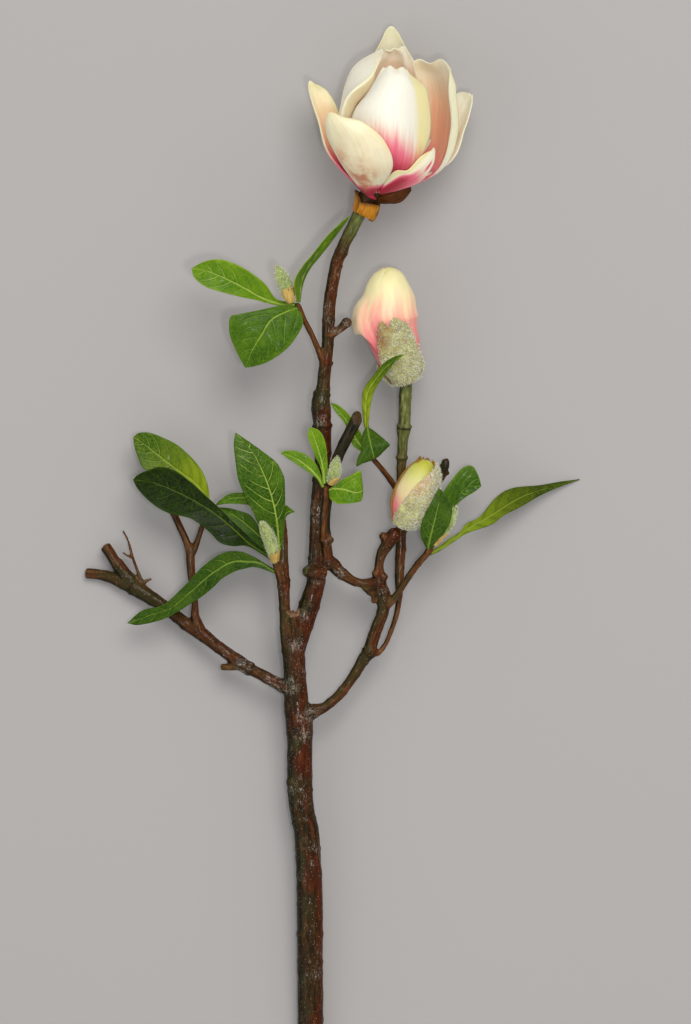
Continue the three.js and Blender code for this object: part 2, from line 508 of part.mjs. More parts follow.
function toSolid(points, index) {
  const solid = new wasm.Manifold(new wasm.Mesh({
    numProp: 3,
    vertProperties: Float32Array.from(points.flatMap((point) => point.toArray())),
    triVerts: Uint32Array.from(index),
  }));
  if (solid.volume() < 0) throw new Error('a solid is inside out');
  return solid;
}

function toGeometry(solid) {
  const mesh = solid.getMesh();
  const geometry = new THREE.BufferGeometry();
  geometry.setAttribute('position', new THREE.BufferAttribute(mesh.vertProperties, 3));
  geometry.setIndex(new THREE.BufferAttribute(mesh.triVerts, 1));
  geometry.computeVertexNormals();
  return geometry;
}

function union(solids) {
  return solids.reduce((whole, solid) => whole.add(solid));
}

// Quads of a skin between rings of points. They are split from their first corner, or
// the other way on the front of a blade, so that both its faces are split alike.
function skinSides(ringCount, around, isBlade) {
  const index = [];
  for (let row = 0; row < ringCount - 1; row++) {
    for (let column = 0; column < around; column++) {
      const a = row * around + column;
      const b = row * around + (column + 1) % around;
      const c = b + around;
      const d = a + around;
      if (isBlade && column < around / 2 - 1) index.push(a, d, b, b, d, c);
      else index.push(a, c, b, a, d, c);
    }
  }
  return index;
}

// Round body over rings of points, with a fan over each end
function roundSkin(rings) {
  const around = rings[0].length;
  const points = rings.flat();
  const index = skinSides(rings.length, around, false);
  for (const row of [0, rings.length - 1]) {
    const centre = new THREE.Vector3();
    for (const point of rings[row]) centre.addScaledVector(point, 1 / around);
    for (let column = 0; column < around; column++) {
      const a = row * around + column;
      const b = row * around + (column + 1) % around;
      if (row === 0) index.push(points.length, a, b);
      else index.push(points.length, b, a);
    }
    points.push(centre);
  }
  return toSolid(points, index);
}

// Blade over rings that run along its front and back again, with a strip over each end
function bladeSkin(rings) {
  const around = rings[0].length;
  const index = skinSides(rings.length, around, true);
  for (let column = 0; column < around / 2 - 1; column++) {
    const a = column;
    const b = column + 1;
    const c = around - 2 - column;
    const d = around - 1 - column;
    const end = (rings.length - 1) * around;
    index.push(a, b, c, a, c, d);
    index.push(end + a, end + c, end + b, end + a, end + d, end + c);
  }
  return toSolid(rings.flat(), index);
}

function vector(place) {
  return new THREE.Vector3(place[0], place[1], place[2]);
}

function smoothLine(places) {
  return new THREE.CatmullRomCurve3(places.map(vector), false, 'catmullrom', 0.5);
}

// Directions across a stem: side is to its right seen from above, front is upward
function acrossStem(tangent) {
  const side = new THREE.Vector3().crossVectors(tangent, UP).normalize();
  const front = new THREE.Vector3().crossVectors(side, tangent).normalize();
  return { side, front };
}

// Point on the skin of a round body that follows stations, at a share of its length
function bodyPoint(stations, share, degrees, offset) {
  const axis = smoothLine(stations);
  const radii = smoothLine(stations.map((station) => [station[3], 0, 0]));
  const { side, front } = acrossStem(axis.getTangent(share));
  const reach = radii.getPoint(share).x + offset;
  const angle = THREE.MathUtils.degToRad(degrees);
  return axis.getPoint(share)
    .addScaledVector(side, reach * Math.cos(angle))
    .addScaledVector(front, reach * Math.sin(angle));
}

// Round body with one ring at each station
function roundBody(stations, sides, extra = 0) {
  const last = stations.length - 1;
  const rings = stations.map((station, row) => (
    Array.from({ length: sides }, (_, side) => (
      bodyPoint(stations, row / last, 360 * side / sides, extra)
    ))
  ));
  const axis = smoothLine(stations);
  for (const point of rings[0]) point.addScaledVector(axis.getTangent(0), -extra);
  for (const point of rings[last]) point.addScaledVector(axis.getTangent(1), extra);
  return roundSkin(rings);
}

function ball([x, y, z, radius], extra = 0) {
  const geometry = new THREE.IcosahedronGeometry(radius + extra, radius > 3 ? 1 : 0);
  const corners = new Map();
  const points = [];
  const index = [];
  const position = geometry.attributes.position;
  for (let i = 0; i < position.count; i++) {
    const point = new THREE.Vector3().fromBufferAttribute(position, i).add(vector([x, y, z]));
    const key = point.toArray().map((value) => value.toFixed(3)).join();
    if (!corners.has(key)) {
      corners.set(key, points.length);
      points.push(point);
    }
    index.push(corners.get(key));
  }
  return toSolid(points, index);
}

// Stub whose last ring is broken off or cut at a slant: reach gives how far each corner
// of the ring goes past the last station, by its angle
function stub(stations, sides, extra, reach) {
  const last = stations.length - 1;
  const along = smoothLine(stations).getTangent(1);
  const rings = stations.map((station, row) => (
    Array.from({ length: sides }, (_, side) => {
      const degrees = 360 * side / sides;
      const point = bodyPoint(stations, row / last, degrees, extra);
      if (row === last) point.addScaledVector(along, reach(degrees, side) + extra);
      return point;
    })
  ));
  return roundSkin(rings);
}

// Closed blade between a grid of middle points and its own offset on both sides
function blade(middle, thickness) {
  const last = middle.length - 1;
  const columns = middle[0].length - 1;
  const rings = middle.map((line, row) => {
    const front = [];
    const back = [];
    line.forEach((point, column) => {
      const along = middle[Math.min(row + 1, last)][column].clone()
        .sub(middle[Math.max(row - 1, 0)][column]);
      const across = line[Math.min(column + 1, columns)].clone()
        .sub(line[Math.max(column - 1, 0)]);
      const normal = across.cross(along).normalize().multiplyScalar(thickness / 2);
      front.unshift(point.clone().add(normal));
      back.push(point.clone().sub(normal));
    });
    return [...front, ...back];
  });
  return bladeSkin(rings);
}

// Places on the curve through three rails, from v = -1 on the left to v = 1 on the right
function acrossRails(left, mid, right, v) {
  return left.clone().multiplyScalar(v * (v - 1) / 2)
    .addScaledVector(mid, 1 - v * v)
    .addScaledVector(right, v * (v + 1) / 2);
}

function leafRail(places, mid, side, lift) {
  const start = mid[0];
  const end = mid[mid.length - 1];
  const foot = [mid[1][0] - start[0], mid[1][1] - start[1]];
  const step = side * LEAF_FOOT / Math.hypot(...foot);
  const rail = smoothLine([
    [start[0] + step * foot[1], start[1] - step * foot[0], 0],
    ...places.map(([x, y]) => [x, y, 0]),
    [end[0] + 0.02 * (places.at(-1)[0] - end[0]), end[1] + 0.02 * (places.at(-1)[1] - end[1]), 0],
  ]);
  const line = smoothLine(mid);
  return (share) => {
    const point = rail.getPointAt(share);
    const middle = line.getPointAt(share);
    const reach = Math.hypot(point.x - middle.x, point.y - middle.y);
    point.z = middle.z + lift * reach;
    return point;
  };
}

function leafBlade({ mid, left, right, lift, wave = [0, 0], rows = LEAF_ROWS }) {
  const leftRail = leafRail(left, mid, -1, lift[0]);
  const rightRail = leafRail(right, mid, 1, lift[1]);
  const line = smoothLine(mid);
  const middle = [];
  for (let row = 0; row <= rows; row++) {
    const share = 0.985 * row / rows;
    const points = [];
    for (let column = 0; column <= LEAF_COLUMNS; column++) {
      const v = 2 * column / LEAF_COLUMNS - 1;
      const point = acrossRails(leftRail(share), line.getPointAt(share), rightRail(share), v);
      point.z += wave[0] * v * v * Math.sin(2 * Math.PI * wave[1] * share + v) * share;
      points.push(point);
    }
    middle.push(points);
  }
  return blade(middle, LEAF_THICKNESS);
}

function tepalBlade({ left, mid, right }, thickness, rows, columns) {
  const rails = [smoothLine(left), smoothLine(mid), smoothLine(right)];
  const middle = [];
  for (let row = 0; row <= rows; row++) {
    const [a, b, c] = rails.map((rail) => rail.getPoint(row / rows));
    const points = [];
    for (let column = 0; column <= columns; column++) {
      points.push(acrossRails(a, b, c, 2 * column / columns - 1));
    }
    middle.push(points);
  }
  return blade(middle, thickness);
}

// Scale or tepal that hugs a round body
function wrapBlade(stations, wrap) {
  const rows = wrap.rows ?? WRAP_ROWS;
  const columns = Math.ceil(2 * wrap.half / WRAP_STEP);
  const middle = [];
  for (let row = 0; row <= rows; row++) {
    const climb = Math.sin(Math.PI / 2 * row / rows);
    const share = wrap.from + (wrap.to - wrap.from) * climb;
    const half = wrap.half * Math.sqrt(Math.max(1 - climb ** wrap.power, 0.004));
    const points = [];
    for (let column = 0; column <= columns; column++) {
      const degrees = wrap.centre - half * (2 * column / columns - 1);
      points.push(bodyPoint(stations, share, degrees, (wrap.inner + wrap.outer) / 2));
    }
    middle.push(points);
  }
  return blade(middle, wrap.outer - wrap.inner);
}

// Sub-parts

function wood(extra) {
  const stems = [roundBody(TRUNK, 12, extra), roundBody(MAIN_STEM, 8, extra)];
  for (const stations of Object.values(TWIGS)) {
    const thickest = Math.max(...stations.map((station) => station[3]));
    stems.push(roundBody(stations, thickest > 3 ? 7 : 5, extra));
  }
  const torn = [1.5, -0.6, 1.8, -0.9, 0.6, 1.9, -0.8, 1.2];
  stems.push(stub(TORN_STUB, 8, extra, (degrees, side) => torn[side]));
  stems.push(stub(DARK_STUB, 9, extra, (degrees) => {
    const facing = Math.cos(THREE.MathUtils.degToRad(degrees - 60));
    return -3.4 * facing;
  }));
  for (const swelling of SWELLINGS) stems.push(ball(swelling, extra));
  return union(stems);
}

function aboveTable(solid) {
  const slab = new THREE.BoxGeometry(600, 900, 40).toNonIndexed();
  const position = slab.attributes.position;
  const points = [];
  const index = [];
  for (let i = 0; i < position.count; i++) {
    const point = new THREE.Vector3().fromBufferAttribute(position, i);
    const known = points.findIndex((other) => other.distanceTo(point) < 1);
    index.push(known < 0 ? points.length : known);
    if (known < 0) points.push(point);
  }
  for (const point of points) point.z -= 20;
  return solid.subtract(toSolid(points, index));
}

// The largest body left after a cut, without loose crumbs
function largest(solid) {
  return solid.decompose().reduce((best, body) => (body.volume() > best.volume() ? body : best));
}

const branch = aboveTable(wood(0));
const branchReach = wood(CLEARANCE);

function clearOfBranch(solid) {
  return largest(solid.subtract(branchReach));
}

function bloomTepals() {
  const receptacle = roundBody([
    [20.4, 189.6, 43.8, 4.2], [21.6, 191.6, 44.4, 5.4], [23.4, 195.6, 45.4, 5.2],
    [25.4, 201, 46.4, 3.6], [28, 209, 47.4, 0.9],
  ], 10);
  const tepals = Object.values(TEPALS).map((tepal) => (
    tepalBlade(tepal, TEPAL_THICKNESS, TEPAL_ROWS, TEPAL_COLUMNS)
  ));
  return clearOfBranch(aboveTable(union([receptacle, ...tepals])));
}

function bud({ stations, wraps }, sides) {
  return union([roundBody(stations, sides), ...wraps.map((wrap) => wrapBlade(stations, wrap))]);
}

function budScales(stations, scales) {
  return clearOfBranch(union(scales.map((scale) => wrapBlade(stations, scale))));
}

const group = new THREE.Group();

function add(name, solid, finish) {
  const material = new THREE.MeshStandardMaterial({ ...finish, metalness: 0 });
  const mesh = new THREE.Mesh(toGeometry(solid), material);
  mesh.name = name;
  group.add(mesh);
}

add('branch_wood', branch, BARK);
for (const [name, leaf] of Object.entries(LEAVES)) {
  add(name, clearOfBranch(leafBlade(leaf)), leaf.finish);
}
add('bloom_tepals', bloomTepals(), TEPAL);
add('bloom_cup_bract', budScales(CUP_BRACT.stations, CUP_BRACT.wraps), BRACT);
add('bloom_brown_bract', clearOfBranch(tepalBlade(BROWN_BRACT_BLADE, 0.8, 5, 4)), BROWN_BRACT);
add('pink_bud_tepals', clearOfBranch(bud(PINK_BUD, 14)), PINK_TEPAL);
add('pink_bud_scales', budScales(PINK_BUD.stations, PINK_BUD_SCALES), FUR);
add('small_bud_tepals', clearOfBranch(bud(SMALL_BUD, 12)), PINK_TEPAL);
add('small_bud_scale', budScales(SMALL_BUD.stations, SMALL_BUD_SCALES), FUR);
for (const [name, leafBud] of Object.entries(LEAF_BUDS)) {
  add(name, clearOfBranch(bud(leafBud, 8)), FUR);
}

export default group;
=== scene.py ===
"""Looks of a saucer magnolia branch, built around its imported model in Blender 4.5.

Lengths are millimetres, apart from the camera's and the lights', and MM turns them into
Blender's metres when a mesh is made. +X is the branch's right, +Y runs to the open bloom,
+Z is up and the table is z = 0.
A place is (x, y, z). A station on a stem or a bud is (x, y, z, radius).
The colours of the finishes are screen values from 0 to 255.
The left and right of a blade are as seen from above, looking from its foot to its tip.
"""

from collections import namedtuple

import bpy
import numpy as np
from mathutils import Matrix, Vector, kdtree, noise


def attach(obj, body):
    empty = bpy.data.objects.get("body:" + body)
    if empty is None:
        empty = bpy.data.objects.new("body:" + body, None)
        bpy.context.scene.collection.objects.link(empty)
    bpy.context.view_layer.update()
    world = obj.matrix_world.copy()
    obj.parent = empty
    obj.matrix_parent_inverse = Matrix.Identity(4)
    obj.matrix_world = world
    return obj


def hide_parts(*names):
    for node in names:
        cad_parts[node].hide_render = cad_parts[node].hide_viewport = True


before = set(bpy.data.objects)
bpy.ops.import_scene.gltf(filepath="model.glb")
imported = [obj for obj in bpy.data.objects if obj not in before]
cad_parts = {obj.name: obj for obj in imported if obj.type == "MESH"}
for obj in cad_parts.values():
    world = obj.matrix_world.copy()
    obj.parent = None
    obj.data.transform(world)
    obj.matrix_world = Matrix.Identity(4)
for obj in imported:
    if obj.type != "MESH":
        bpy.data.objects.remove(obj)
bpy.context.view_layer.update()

MM = 0.001

# Camera, straight above the branch with a long lens. Its lengths are metres.
CAMERA_PLACE = (0.008, 0.0168, 8)
VIEW_HEIGHT = 0.5632  # height of the photograph's frame at the branch's middle height
BRANCH_MIDDLE = 0.035

# Lights, in metres: name, place, size, power, tint
LIGHTS = [
    ("key light", (0.4, 1.1, 2.2), 1.5, 33.5, (1, 0.985, 0.95)),
    ("small bright light", (0.15, -0.05, 2.4), 0.14, 8.5, (1, 1, 1)),
    ("fill light", (-1.7, -0.4, 1.9), 1.8, 6, (0.96, 0.98, 1)),
    ("low light", (0.5, -1.9, 1.3), 1.4, 3.4, (1, 0.98, 0.96)),
]
ROOM_COLOUR = (0.9, 0.9, 0.9, 1)
ROOM_STRENGTH = 0.56
FLOOR_COLOUR = (169, 166, 165)

# Sizes of the pieces
CUT_END_Y = -284.6
CUT_END_RADIUS = 7.05
REST_DEPTH = 0.5  # how deep the resting flat is cut into the round bark
STEM_RISE = 0.078  # height gained along the stem, per millimetre of y
STUB_SLANT = 3.4  # how far the saw cut of the dark stub slants, to each side of its middle
LEAF_FOOT = 0.9  # half the width of a leaf stalk
LEAF_THICKNESS = 0.5
VEIN_GAP = 7.5  # between the side veins of a leaf
TEPAL_THICKNESS = 0.9
TEPAL_LENGTH = 95
TEPAL_CLEARANCE = 0.05  # between the back tepal and the table
BROWN_BRACT_THICKNESS = 0.7
FLOOR_HALF_WIDTH = 8000
GRAIN_GAP = 40  # between two stems' places in the pattern of the bark

# How fine the meshes are
BARK_VOXEL = 0.7
STEM_STEP = 0.8
LEAF_STEP = (0.65, 0.55)  # along a leaf and across it
TEPAL_ROWS, TEPAL_COLUMNS, FOLD_COLUMNS = 84, 44, 10
WRAP_ROWS, WRAP_COLUMN = 46, 3.2  # rows of a wrap, and degrees of each pair of its columns


def stem_height(y):
    return CUT_END_RADIUS - REST_DEPTH + STEM_RISE * (y - CUT_END_Y)


def on_stem_line(stations):
    """Stations of a stem from x, y and radius."""
    return [(x, y, stem_height(y), radius) for x, y, radius in stations]


def wrapping(first, last, centre, half, power, inner, outer, **more):
    """Tepal or scale wrapped round a body, from one share of its axis to another.

    It is centred on an angle seen along the axis: 0 is the right, 90 the front, 180 the left
    and 270 the back. half is half its angle at the widest, and power its bluntness at the
    tip. inner and outer are its faces' distances from the body's surface. nicks are notches
    in its rim: angle, width, depth. hem raises its foot between two angles, by a share of
    the axis, and flare lifts that foot off the body."""
    return {
        "first": first, "last": last, "centre": centre, "half": half, "power": power,
        "inner": inner, "outer": outer, **more,
    }


# Thick stem, from the cut end to the first fork: x, y, radius
TRUNK = on_stem_line([
    [-11.3, -284.6, 7.05], [-11.3, -262, 7.05], [-11.5, -230, 7.1], [-11.7, -200, 7.2],
    [-12.3, -180, 7.1], [-13.5, -160, 6.9], [-15.6, -150, 6.8], [-16.9, -140, 6.95],
    [-17.2, -130, 7.1], [-17.3, -120, 7], [-17.2, -110, 7], [-17.5, -100, 7.5],
    [-19, -90, 7], [-19.5, -80, 6.4], [-20, -70, 6.1], [-20.6, -60, 6.2], [-20.5, -53, 4.6],
])

# Stem that carries the bloom: x, y, radius
MAIN_STEM = on_stem_line([
    [-20.2, -64, 4.6], [-17.5, -54, 5], [-15.5, -47, 5.2], [-13, -38, 5.7], [-10.5, -30, 5.5],
    [-8, -20, 5], [-8.3, -12, 4.4], [-8.5, -5, 3.8], [-8.1, 8, 3.7], [-7.5, 20, 3.8],
    [-5.9, 36, 4], [-4.2, 50, 4.5], [-4.8, 65, 4.9], [-5.2, 70, 5.3], [-5.5, 78, 5.1],
    [-4.3, 85, 3.8], [-3.6, 94, 3.6], [-2, 105, 3.2], [-1.6, 115, 3.5], [-1.1, 128, 3.5],
    [-0.3, 135, 3.5], [1.3, 145, 3.4], [3.5, 155, 3.5], [5.8, 160, 3.6], [7.7, 165, 3.4],
    [10.3, 170, 3.6], [12.8, 175, 3.6], [15.2, 180, 3.7], [17.5, 185, 3.9], [19.3, 188.5, 4.2],
])

# The other stems and twigs, each from inside what carries it to its own end
TWIGS = {
    "fork_knob": [
        [-2.6, -17, 30, 2.2], [-4.2, -16.9, 31, 3], [-7, -16.6, 32, 3.5], [-10, -16.3, 31.6, 3.7],
        [-12.8, -16.1, 30.4, 3.4], [-15, -16, 29.6, 2.4],
    ],
    "left_stem": [
        [-22, -64, 23.9, 4.4], [-24.6, -52, 25.4, 3.4], [-25.5, -40, 26.8, 3], [-25.8, -30, 28, 3.2],
        [-26.3, -20, 29, 3.6], [-26.6, -10, 29.8, 3.2], [-26.5, 0, 30.4, 2.9], [-26.8, 8, 31, 2.6],
        [-27, 14, 31.5, 2.2],
    ],
    "left_shoot": [
        [-26.5, -24, 28.8, 2.4], [-28.5, -17.5, 30.6, 2.2], [-30.2, -12, 33.4, 2], [-31, -8, 36.4, 1.8],
        [-31.3, -7, 37.6, 1.7],
    ],
    "side_branch": [
        [-5, -10, 28.3, 4.4], [1, -12, 28.3, 4], [4, -15.5, 28, 3.5], [8, -18.5, 27.5, 3],
        [12, -21, 27, 2.6], [17, -22.5, 26.5, 2.5], [22, -23, 26, 3.6], [26, -23, 25.5, 4.8],
        [28.5, -26, 25, 4.2],
    ],
    "node_stalk": [
        [-2, -10, 29, 3.4], [-2.2, -4, 31, 3], [-2.5, 0, 32.3, 2.9], [-2.3, 3, 33, 2.5],
    ],
    "centre_twig": [
        [-4.6, 2.5, 34.2, 1.6], [-3.8, 14, 36.2, 1.6], [-2.9, 24, 38.8, 1.6], [-2.5, 29.5, 40.2, 2],
        [-2.4, 31.5, 40.8, 2.1],
    ],
    "bud_shoot": [
        [26, -22, 26, 4], [26.5, -16.5, 27, 2.9], [26.5, -12, 27.6, 2.6], [28, -6, 28.6, 3],
        [31, -1, 29.6, 3.6], [34.5, 4, 30.5, 3.8], [36.6, 7.6, 31, 3.6],
    ],
    "bud_shoot_spur": [[30, -1, 29.6, 2.4], [29, 3, 30, 1.9], [28.6, 4.8, 30.2, 1.4]],
    "knot_spur": [[24.5, -27, 25.5, 2], [23.6, -32, 25, 1.6], [23.3, -33.8, 24.8, 1]],
    "right_branch": [
        [-14, -96, 21.8, 4.4], [-10, -93, 21.8, 4], [-4, -91, 21.6, 2.9], [0, -88, 21.5, 2.7],
        [5, -83.5, 21.5, 2.8], [10, -77, 21.6, 2.8], [15, -69.5, 21.8, 3], [18, -64, 22, 3.4],
        [21, -60, 22.2, 3.7], [23.5, -52, 22.8, 3.4], [26, -45, 23.3, 3.4], [28, -40, 23.8, 3.3],
        [29, -34, 24.4, 3.6], [28.3, -28, 25, 4.2], [26.5, -23, 25.6, 4.4],
    ],
    "right_twig": [
        [30.5, -35, 24.6, 2.2], [32.5, -33.5, 25.3, 2], [36, -29, 26.8, 2], [40, -23, 29, 1.9],
        [44, -17, 31, 1.9], [48, -11.5, 33.2, 1.9], [52, -7, 35.2, 1.9], [54.2, -4, 36.5, 2],
        [55.8, -1.9, 37.4, 1.5],
    ],
    "pink_bud_stem": [
        [22.5, -61.5, 21.5, 1.7], [26, -61, 20.6, 1.5], [30, -56, 19.6, 1.4], [33, -49, 18.6, 1.4],
        [36, -40, 17.6, 1.6], [37.5, -30, 17, 1.9], [37.6, -20, 16.6, 2.6], [38, -10, 16.3, 2.8],
        [38.5, 0, 16.1, 2.9], [38.5, 20, 16.3, 2.6], [38.5, 38, 17.2, 2.5], [39, 45, 18, 2.8],
        [39.5, 55, 19.5, 2.9], [40, 61, 20.6, 3.7], [40.4, 66, 21.4, 3.4], [40.7, 76, 23.3, 3.5],
        [41.2, 86, 25.3, 3.5], [40.8, 90, 26, 3.4],
    ],
    "reddish_twig": [
        [38.5, 25, 16.6, 2], [35, 31, 20.5, 1.8], [30, 38, 26, 1.6], [25, 44, 30.5, 1.5],
        [21, 49, 33.3, 1.4], [20, 55, 35.5, 1.4], [19.9, 62, 38, 1.6],
    ],
    "dried_bud_twig": [
        [38.5, 4, 16.2, 2], [43, 9, 17, 1.2], [48, 15, 18.5, 1.1], [53, 21.5, 21.5, 1.1],
        [57, 28, 24.5, 1.1], [60, 33.5, 27, 1.4], [61.5, 38, 28.3, 2.3], [63.2, 43.5, 29.2, 2.1],
        [64.2, 46.5, 29.6, 0.9],
    ],
    "upper_left_twig": [
        [-3.8, 96, 36.8, 2.2], [-5.5, 102, 38.2, 1.8], [-9.5, 112, 41, 1.6], [-13, 119, 42.8, 1.6],
        [-15.5, 124, 44, 1.6], [-18, 129.5, 45, 1.9], [-19.5, 131.5, 45.4, 1.6],
    ],
    "round_spur": [
        [-1.5, 114.3, 38.5, 2.8], [2, 115.4, 39.4, 2.3], [5, 117.5, 40.3, 2.1], [8.4, 120.4, 41.2, 2.9],
    ],
    "left_branch": [
        [-19.5, -79, 22.6, 5], [-24, -79.6, 22.2, 4.5], [-30, -77.3, 21, 3.5], [-40, -72, 19.2, 3.2],
        [-45, -69.5, 18.4, 3.3], [-50, -66.5, 17.6, 4.1], [-56, -62, 16.4, 3.5], [-63, -57, 15, 3.4],
        [-70, -51.5, 13.5, 3.7], [-78, -46.5, 12, 3.5], [-86, -40, 10.4, 3.4], [-94, -34, 8.9, 3.6],
        [-101, -29.5, 7.6, 4], [-108, -25, 6.4, 4.7], [-112, -22.5, 5.6, 4.2],
    ],
    "lower_prong": [
        [-108, -25, 6.2, 4.3], [-114, -22.5, 5.3, 3.8], [-121, -19.5, 4.4, 3.3],
        [-128, -17.7, 3.6, 2.9], [-135.9, -17, 3, 3],
    ],
    "upper_prong": [
        [-109, -23, 6.2, 4.2], [-113.5, -18, 6.6, 3.8], [-117, -13, 7, 3.5], [-119.5, -10, 7.2, 3],
        [-121.5, -6.5, 7.4, 3], [-125.2, -1.5, 7.6, 3.2],
    ],
    "branch_stub": [
        [-49, -67, 17.6, 2.8], [-53, -68.5, 17.2, 2], [-57, -68.8, 16.8, 1.9], [-61, -68.5, 16.4, 2],
    ],
    "upright_twig": [
        [-71.5, -50.5, 13.4, 3.4], [-73.5, -45, 14, 3], [-75, -40, 14.2, 2.4], [-75, -33, 14.3, 1.9],
        [-76.3, -25, 14.3, 1.9], [-77, -18, 14.2, 2.2], [-77.5, -10, 14, 2.5], [-77.6, -5, 14, 2.4],
    ],
    "upright_left_prong": [
        [-77.8, -7, 14, 2.2], [-79.5, 0, 13.8, 2.1], [-84, 10, 13.4, 2], [-88, 19, 13, 2.1],
    ],
    "upright_right_prong": [
        [-77, -7, 14.2, 2], [-75, -3, 14.3, 1.8], [-71, 9, 14.5, 1.5], [-67.5, 21.5, 15, 1.5],
    ],
    "pale_twig": [
        [-104, -23, 7.8, 1.4], [-107, -15, 8.6, 0.9], [-109.5, -8, 9.2, 0.9], [-112, 1, 9.8, 0.75],
        [-115, 7, 10.2, 0.6],
    ],
    "pale_twig_fork": [[-109.3, -8.5, 9.2, 0.75], [-112, -7.5, 9.3, 0.7], [-115.5, -5, 9.6, 0.6]],
    "pale_twig_spur": [[-103.5, -22.5, 7.9, 1.2], [-101, -20.8, 8.2, 0.9], [-98.5, -20, 8.4, 0.7]],
}

# Stubs with a broken or a slanting end
TORN_STUB = [[-19, -54, 25, 3.6], [-19.2, -46, 27, 3.5], [-20.4, -39.5, 28.4, 3.4]]
DARK_STUB = [
    [-2.4, 0, 32, 2.7], [-3, 12, 32.6, 2.6], [-2, 22, 33.6, 2.6], [-0.5, 34, 35, 2.8],
    [3.5, 46, 37.2, 3], [8, 56, 39.2, 3.2], [12.5, 64.5, 41, 3.3], [14.7, 69, 41.8, 3.3],
]

# Round swellings where a stem forks or has healed: x, y, z, radius
SWELLINGS = [
    [-19.9, -132.5, 20, 5], [-9, -16, 27.6, 5.4], [-12.6, -16, 28.6, 3.4], [-7.4, 74, 36, 3.4],
    [-3.2, 69, 36.4, 3.3], [13.3, -22.6, 26.8, 1.9], [21.8, -26.4, 25.5, 3], [40, -4, 16.6, 1.9],
    [8.6, 120.8, 41.4, 3],
]

# Stems that end in a saw cut
SAWN_TWIGS = ("lower_prong", "upper_prong", "branch_stub")

# Stems that turn from brown to olive green between two values of y
OLIVE_STEMS = {"main_stem": (158, 178), "pink_bud_stem": (32, 60)}

# Rings at the nodes of a stem, by their y
NODE_RINGS = {
    "pink_bud_stem": (45.6, 62.6), "main_stem": (33, 63.5, 79.8, 97.6), "left_stem": (-22,),
    "left_branch": (-70.4,), "right_branch": (-61.5,),
}

# Knobs of old buds on the wood, beside the swellings: x, y, z, radius
KNOBS = [
    [-14.5, -103, 24, 2.6], [-5, 93, 38.5, 1.9], [4.8, 152, 42.2, 1.9], [-3.6, 122, 39, 1.7],
    [-19, -96, 27, 2.4], [-13.5, -42, 30, 2.2], [24.6, -47, 24.6, 1.8], [19.2, -66, 23.4, 1.7],
    [8, -79.5, 22.8, 1.5], [30.4, -1.4, 31.4, 1.9], [25.4, -14, 29, 1.5], [-29, 2, 31.4, 1.3],
    [-24.4, -30, 29.8, 1.5], [-40.5, -70, 20.8, 1.7], [-62, -56, 17.2, 1.8],
    [-86, -42.5, 11.5, 1.9], [-74, -26, 15.4, 1], [39.5, -14, 18, 1.3], [28.8, 3.4, 31.4, 2.4],
    [-4.4, 1.6, 33.4, 1.9], [0, 1.4, 33.4, 1.8], [25, -17, 28.4, 2.7], [29.4, -19, 28, 2.2],
    [18.8, -25.6, 27, 1.5], [64, 38.2, 28.5, 1.4], [62.6, 44.3, 29.3, 1.9], [60.4, 41.6, 29.2, 1.5],
    [61, 35.4, 28, 1.8], [37, 30, 18.2, 1.2], [41.5, 61, 22, 1.9], [3, -13.4, 30.4, 1.9],
    [17, -23.4, 28, 1.5],
]

# Places where the bark is rubbed to a pale film, is dark, green or red: mark, x, y, z, reach
STAINED_PLACES = [
    # the dark place at x 20.4, y 190 is painted shade, where the stem's top goes into the cup
    ("dark", 61.6, 42, 29, 8), ("dark", 20.4, 190, 44.6, 6), ("dark", -19.5, -104, 27, 3.5),
    ("dark", -11, -180, 23, 2.6), ("dark", -20, -64.6, 28.5, 2.6),
    ("red", -4, 70, 40, 6), ("red", -2, 56, 40, 10), ("red", -4, 79, 42, 3), ("red", 2, 95, 42, 5),
    ("red", -12, -45, 32, 8), ("red", -19, -100, 28, 10), ("red", -14, -122, 26, 9),
    ("red", 0, 40, 38, 7), ("red", -2, 100, 42, 6),
    ("film", -22, -79, 27, 7), ("film", -11, -95, 25.5, 7), ("film", -19, -57, 28, 6),
    ("film", -14.5, -97, 28, 6), ("film", -31, -76, 24, 9), ("film", -16, -106, 26, 6),
    ("film", -9, 15.7, 34, 8), ("film", -6, 66, 40, 5), ("film", 5, -17, 31, 5),
    ("film", -48, -68, 21, 7), ("film", 40, 30, 19, 6), ("film", -14, -40, 34, 6),
    ("film", -16.7, -129.5, 27, 2.4), ("film", -10.5, -176.5, 22, 2.4), ("film", -45, -68, 21, 4),
    ("film", 3.5, 116, 41.5, 4), ("film", 9, 121, 44, 4), ("film", -4, 79, 41, 3.4),
    ("olive", -15.4, -15, 32, 4.4),
]

# Shades of leaf: dark, light, vein, back and edge, how strongly the light shade gathers
# near the stalk and the dark one near the tip, and how clearly the side veins show
LEAF_SHADES = {
    "leaf": ((38, 72, 7), (80, 114, 20), (156, 182, 70), (96, 124, 44), (92, 120, 20), 0, 0.5),
    "dark_leaf": ((8, 18, 0), (30, 50, 2), (92, 118, 26), (74, 102, 34), (40, 66, 8), 0, 0.3),
    "young_leaf": (
        (60, 102, 6), (104, 138, 18), (180, 198, 92), (124, 150, 46), (136, 160, 34), 0, 0.5,
    ),
    "veined_leaf": (
        (24, 56, 4), (66, 100, 14), (176, 196, 84), (80, 108, 36), (52, 84, 14), 0, 0.9,
    ),
    "wavy_leaf": ((26, 54, 6), (64, 92, 18), (130, 158, 60), (80, 108, 36), (52, 84, 14), 0, 0.4),
    "olive_leaf": (
        (42, 58, 6), (112, 132, 20), (140, 156, 56), (84, 100, 30), (46, 64, 8), 0.8, 0.15,
    ),
    "sunlit_leaf": (
        (42, 76, 8), (140, 158, 28), (168, 184, 72), (110, 132, 44), (60, 90, 14), 0.7, 0.5,
    ),
}

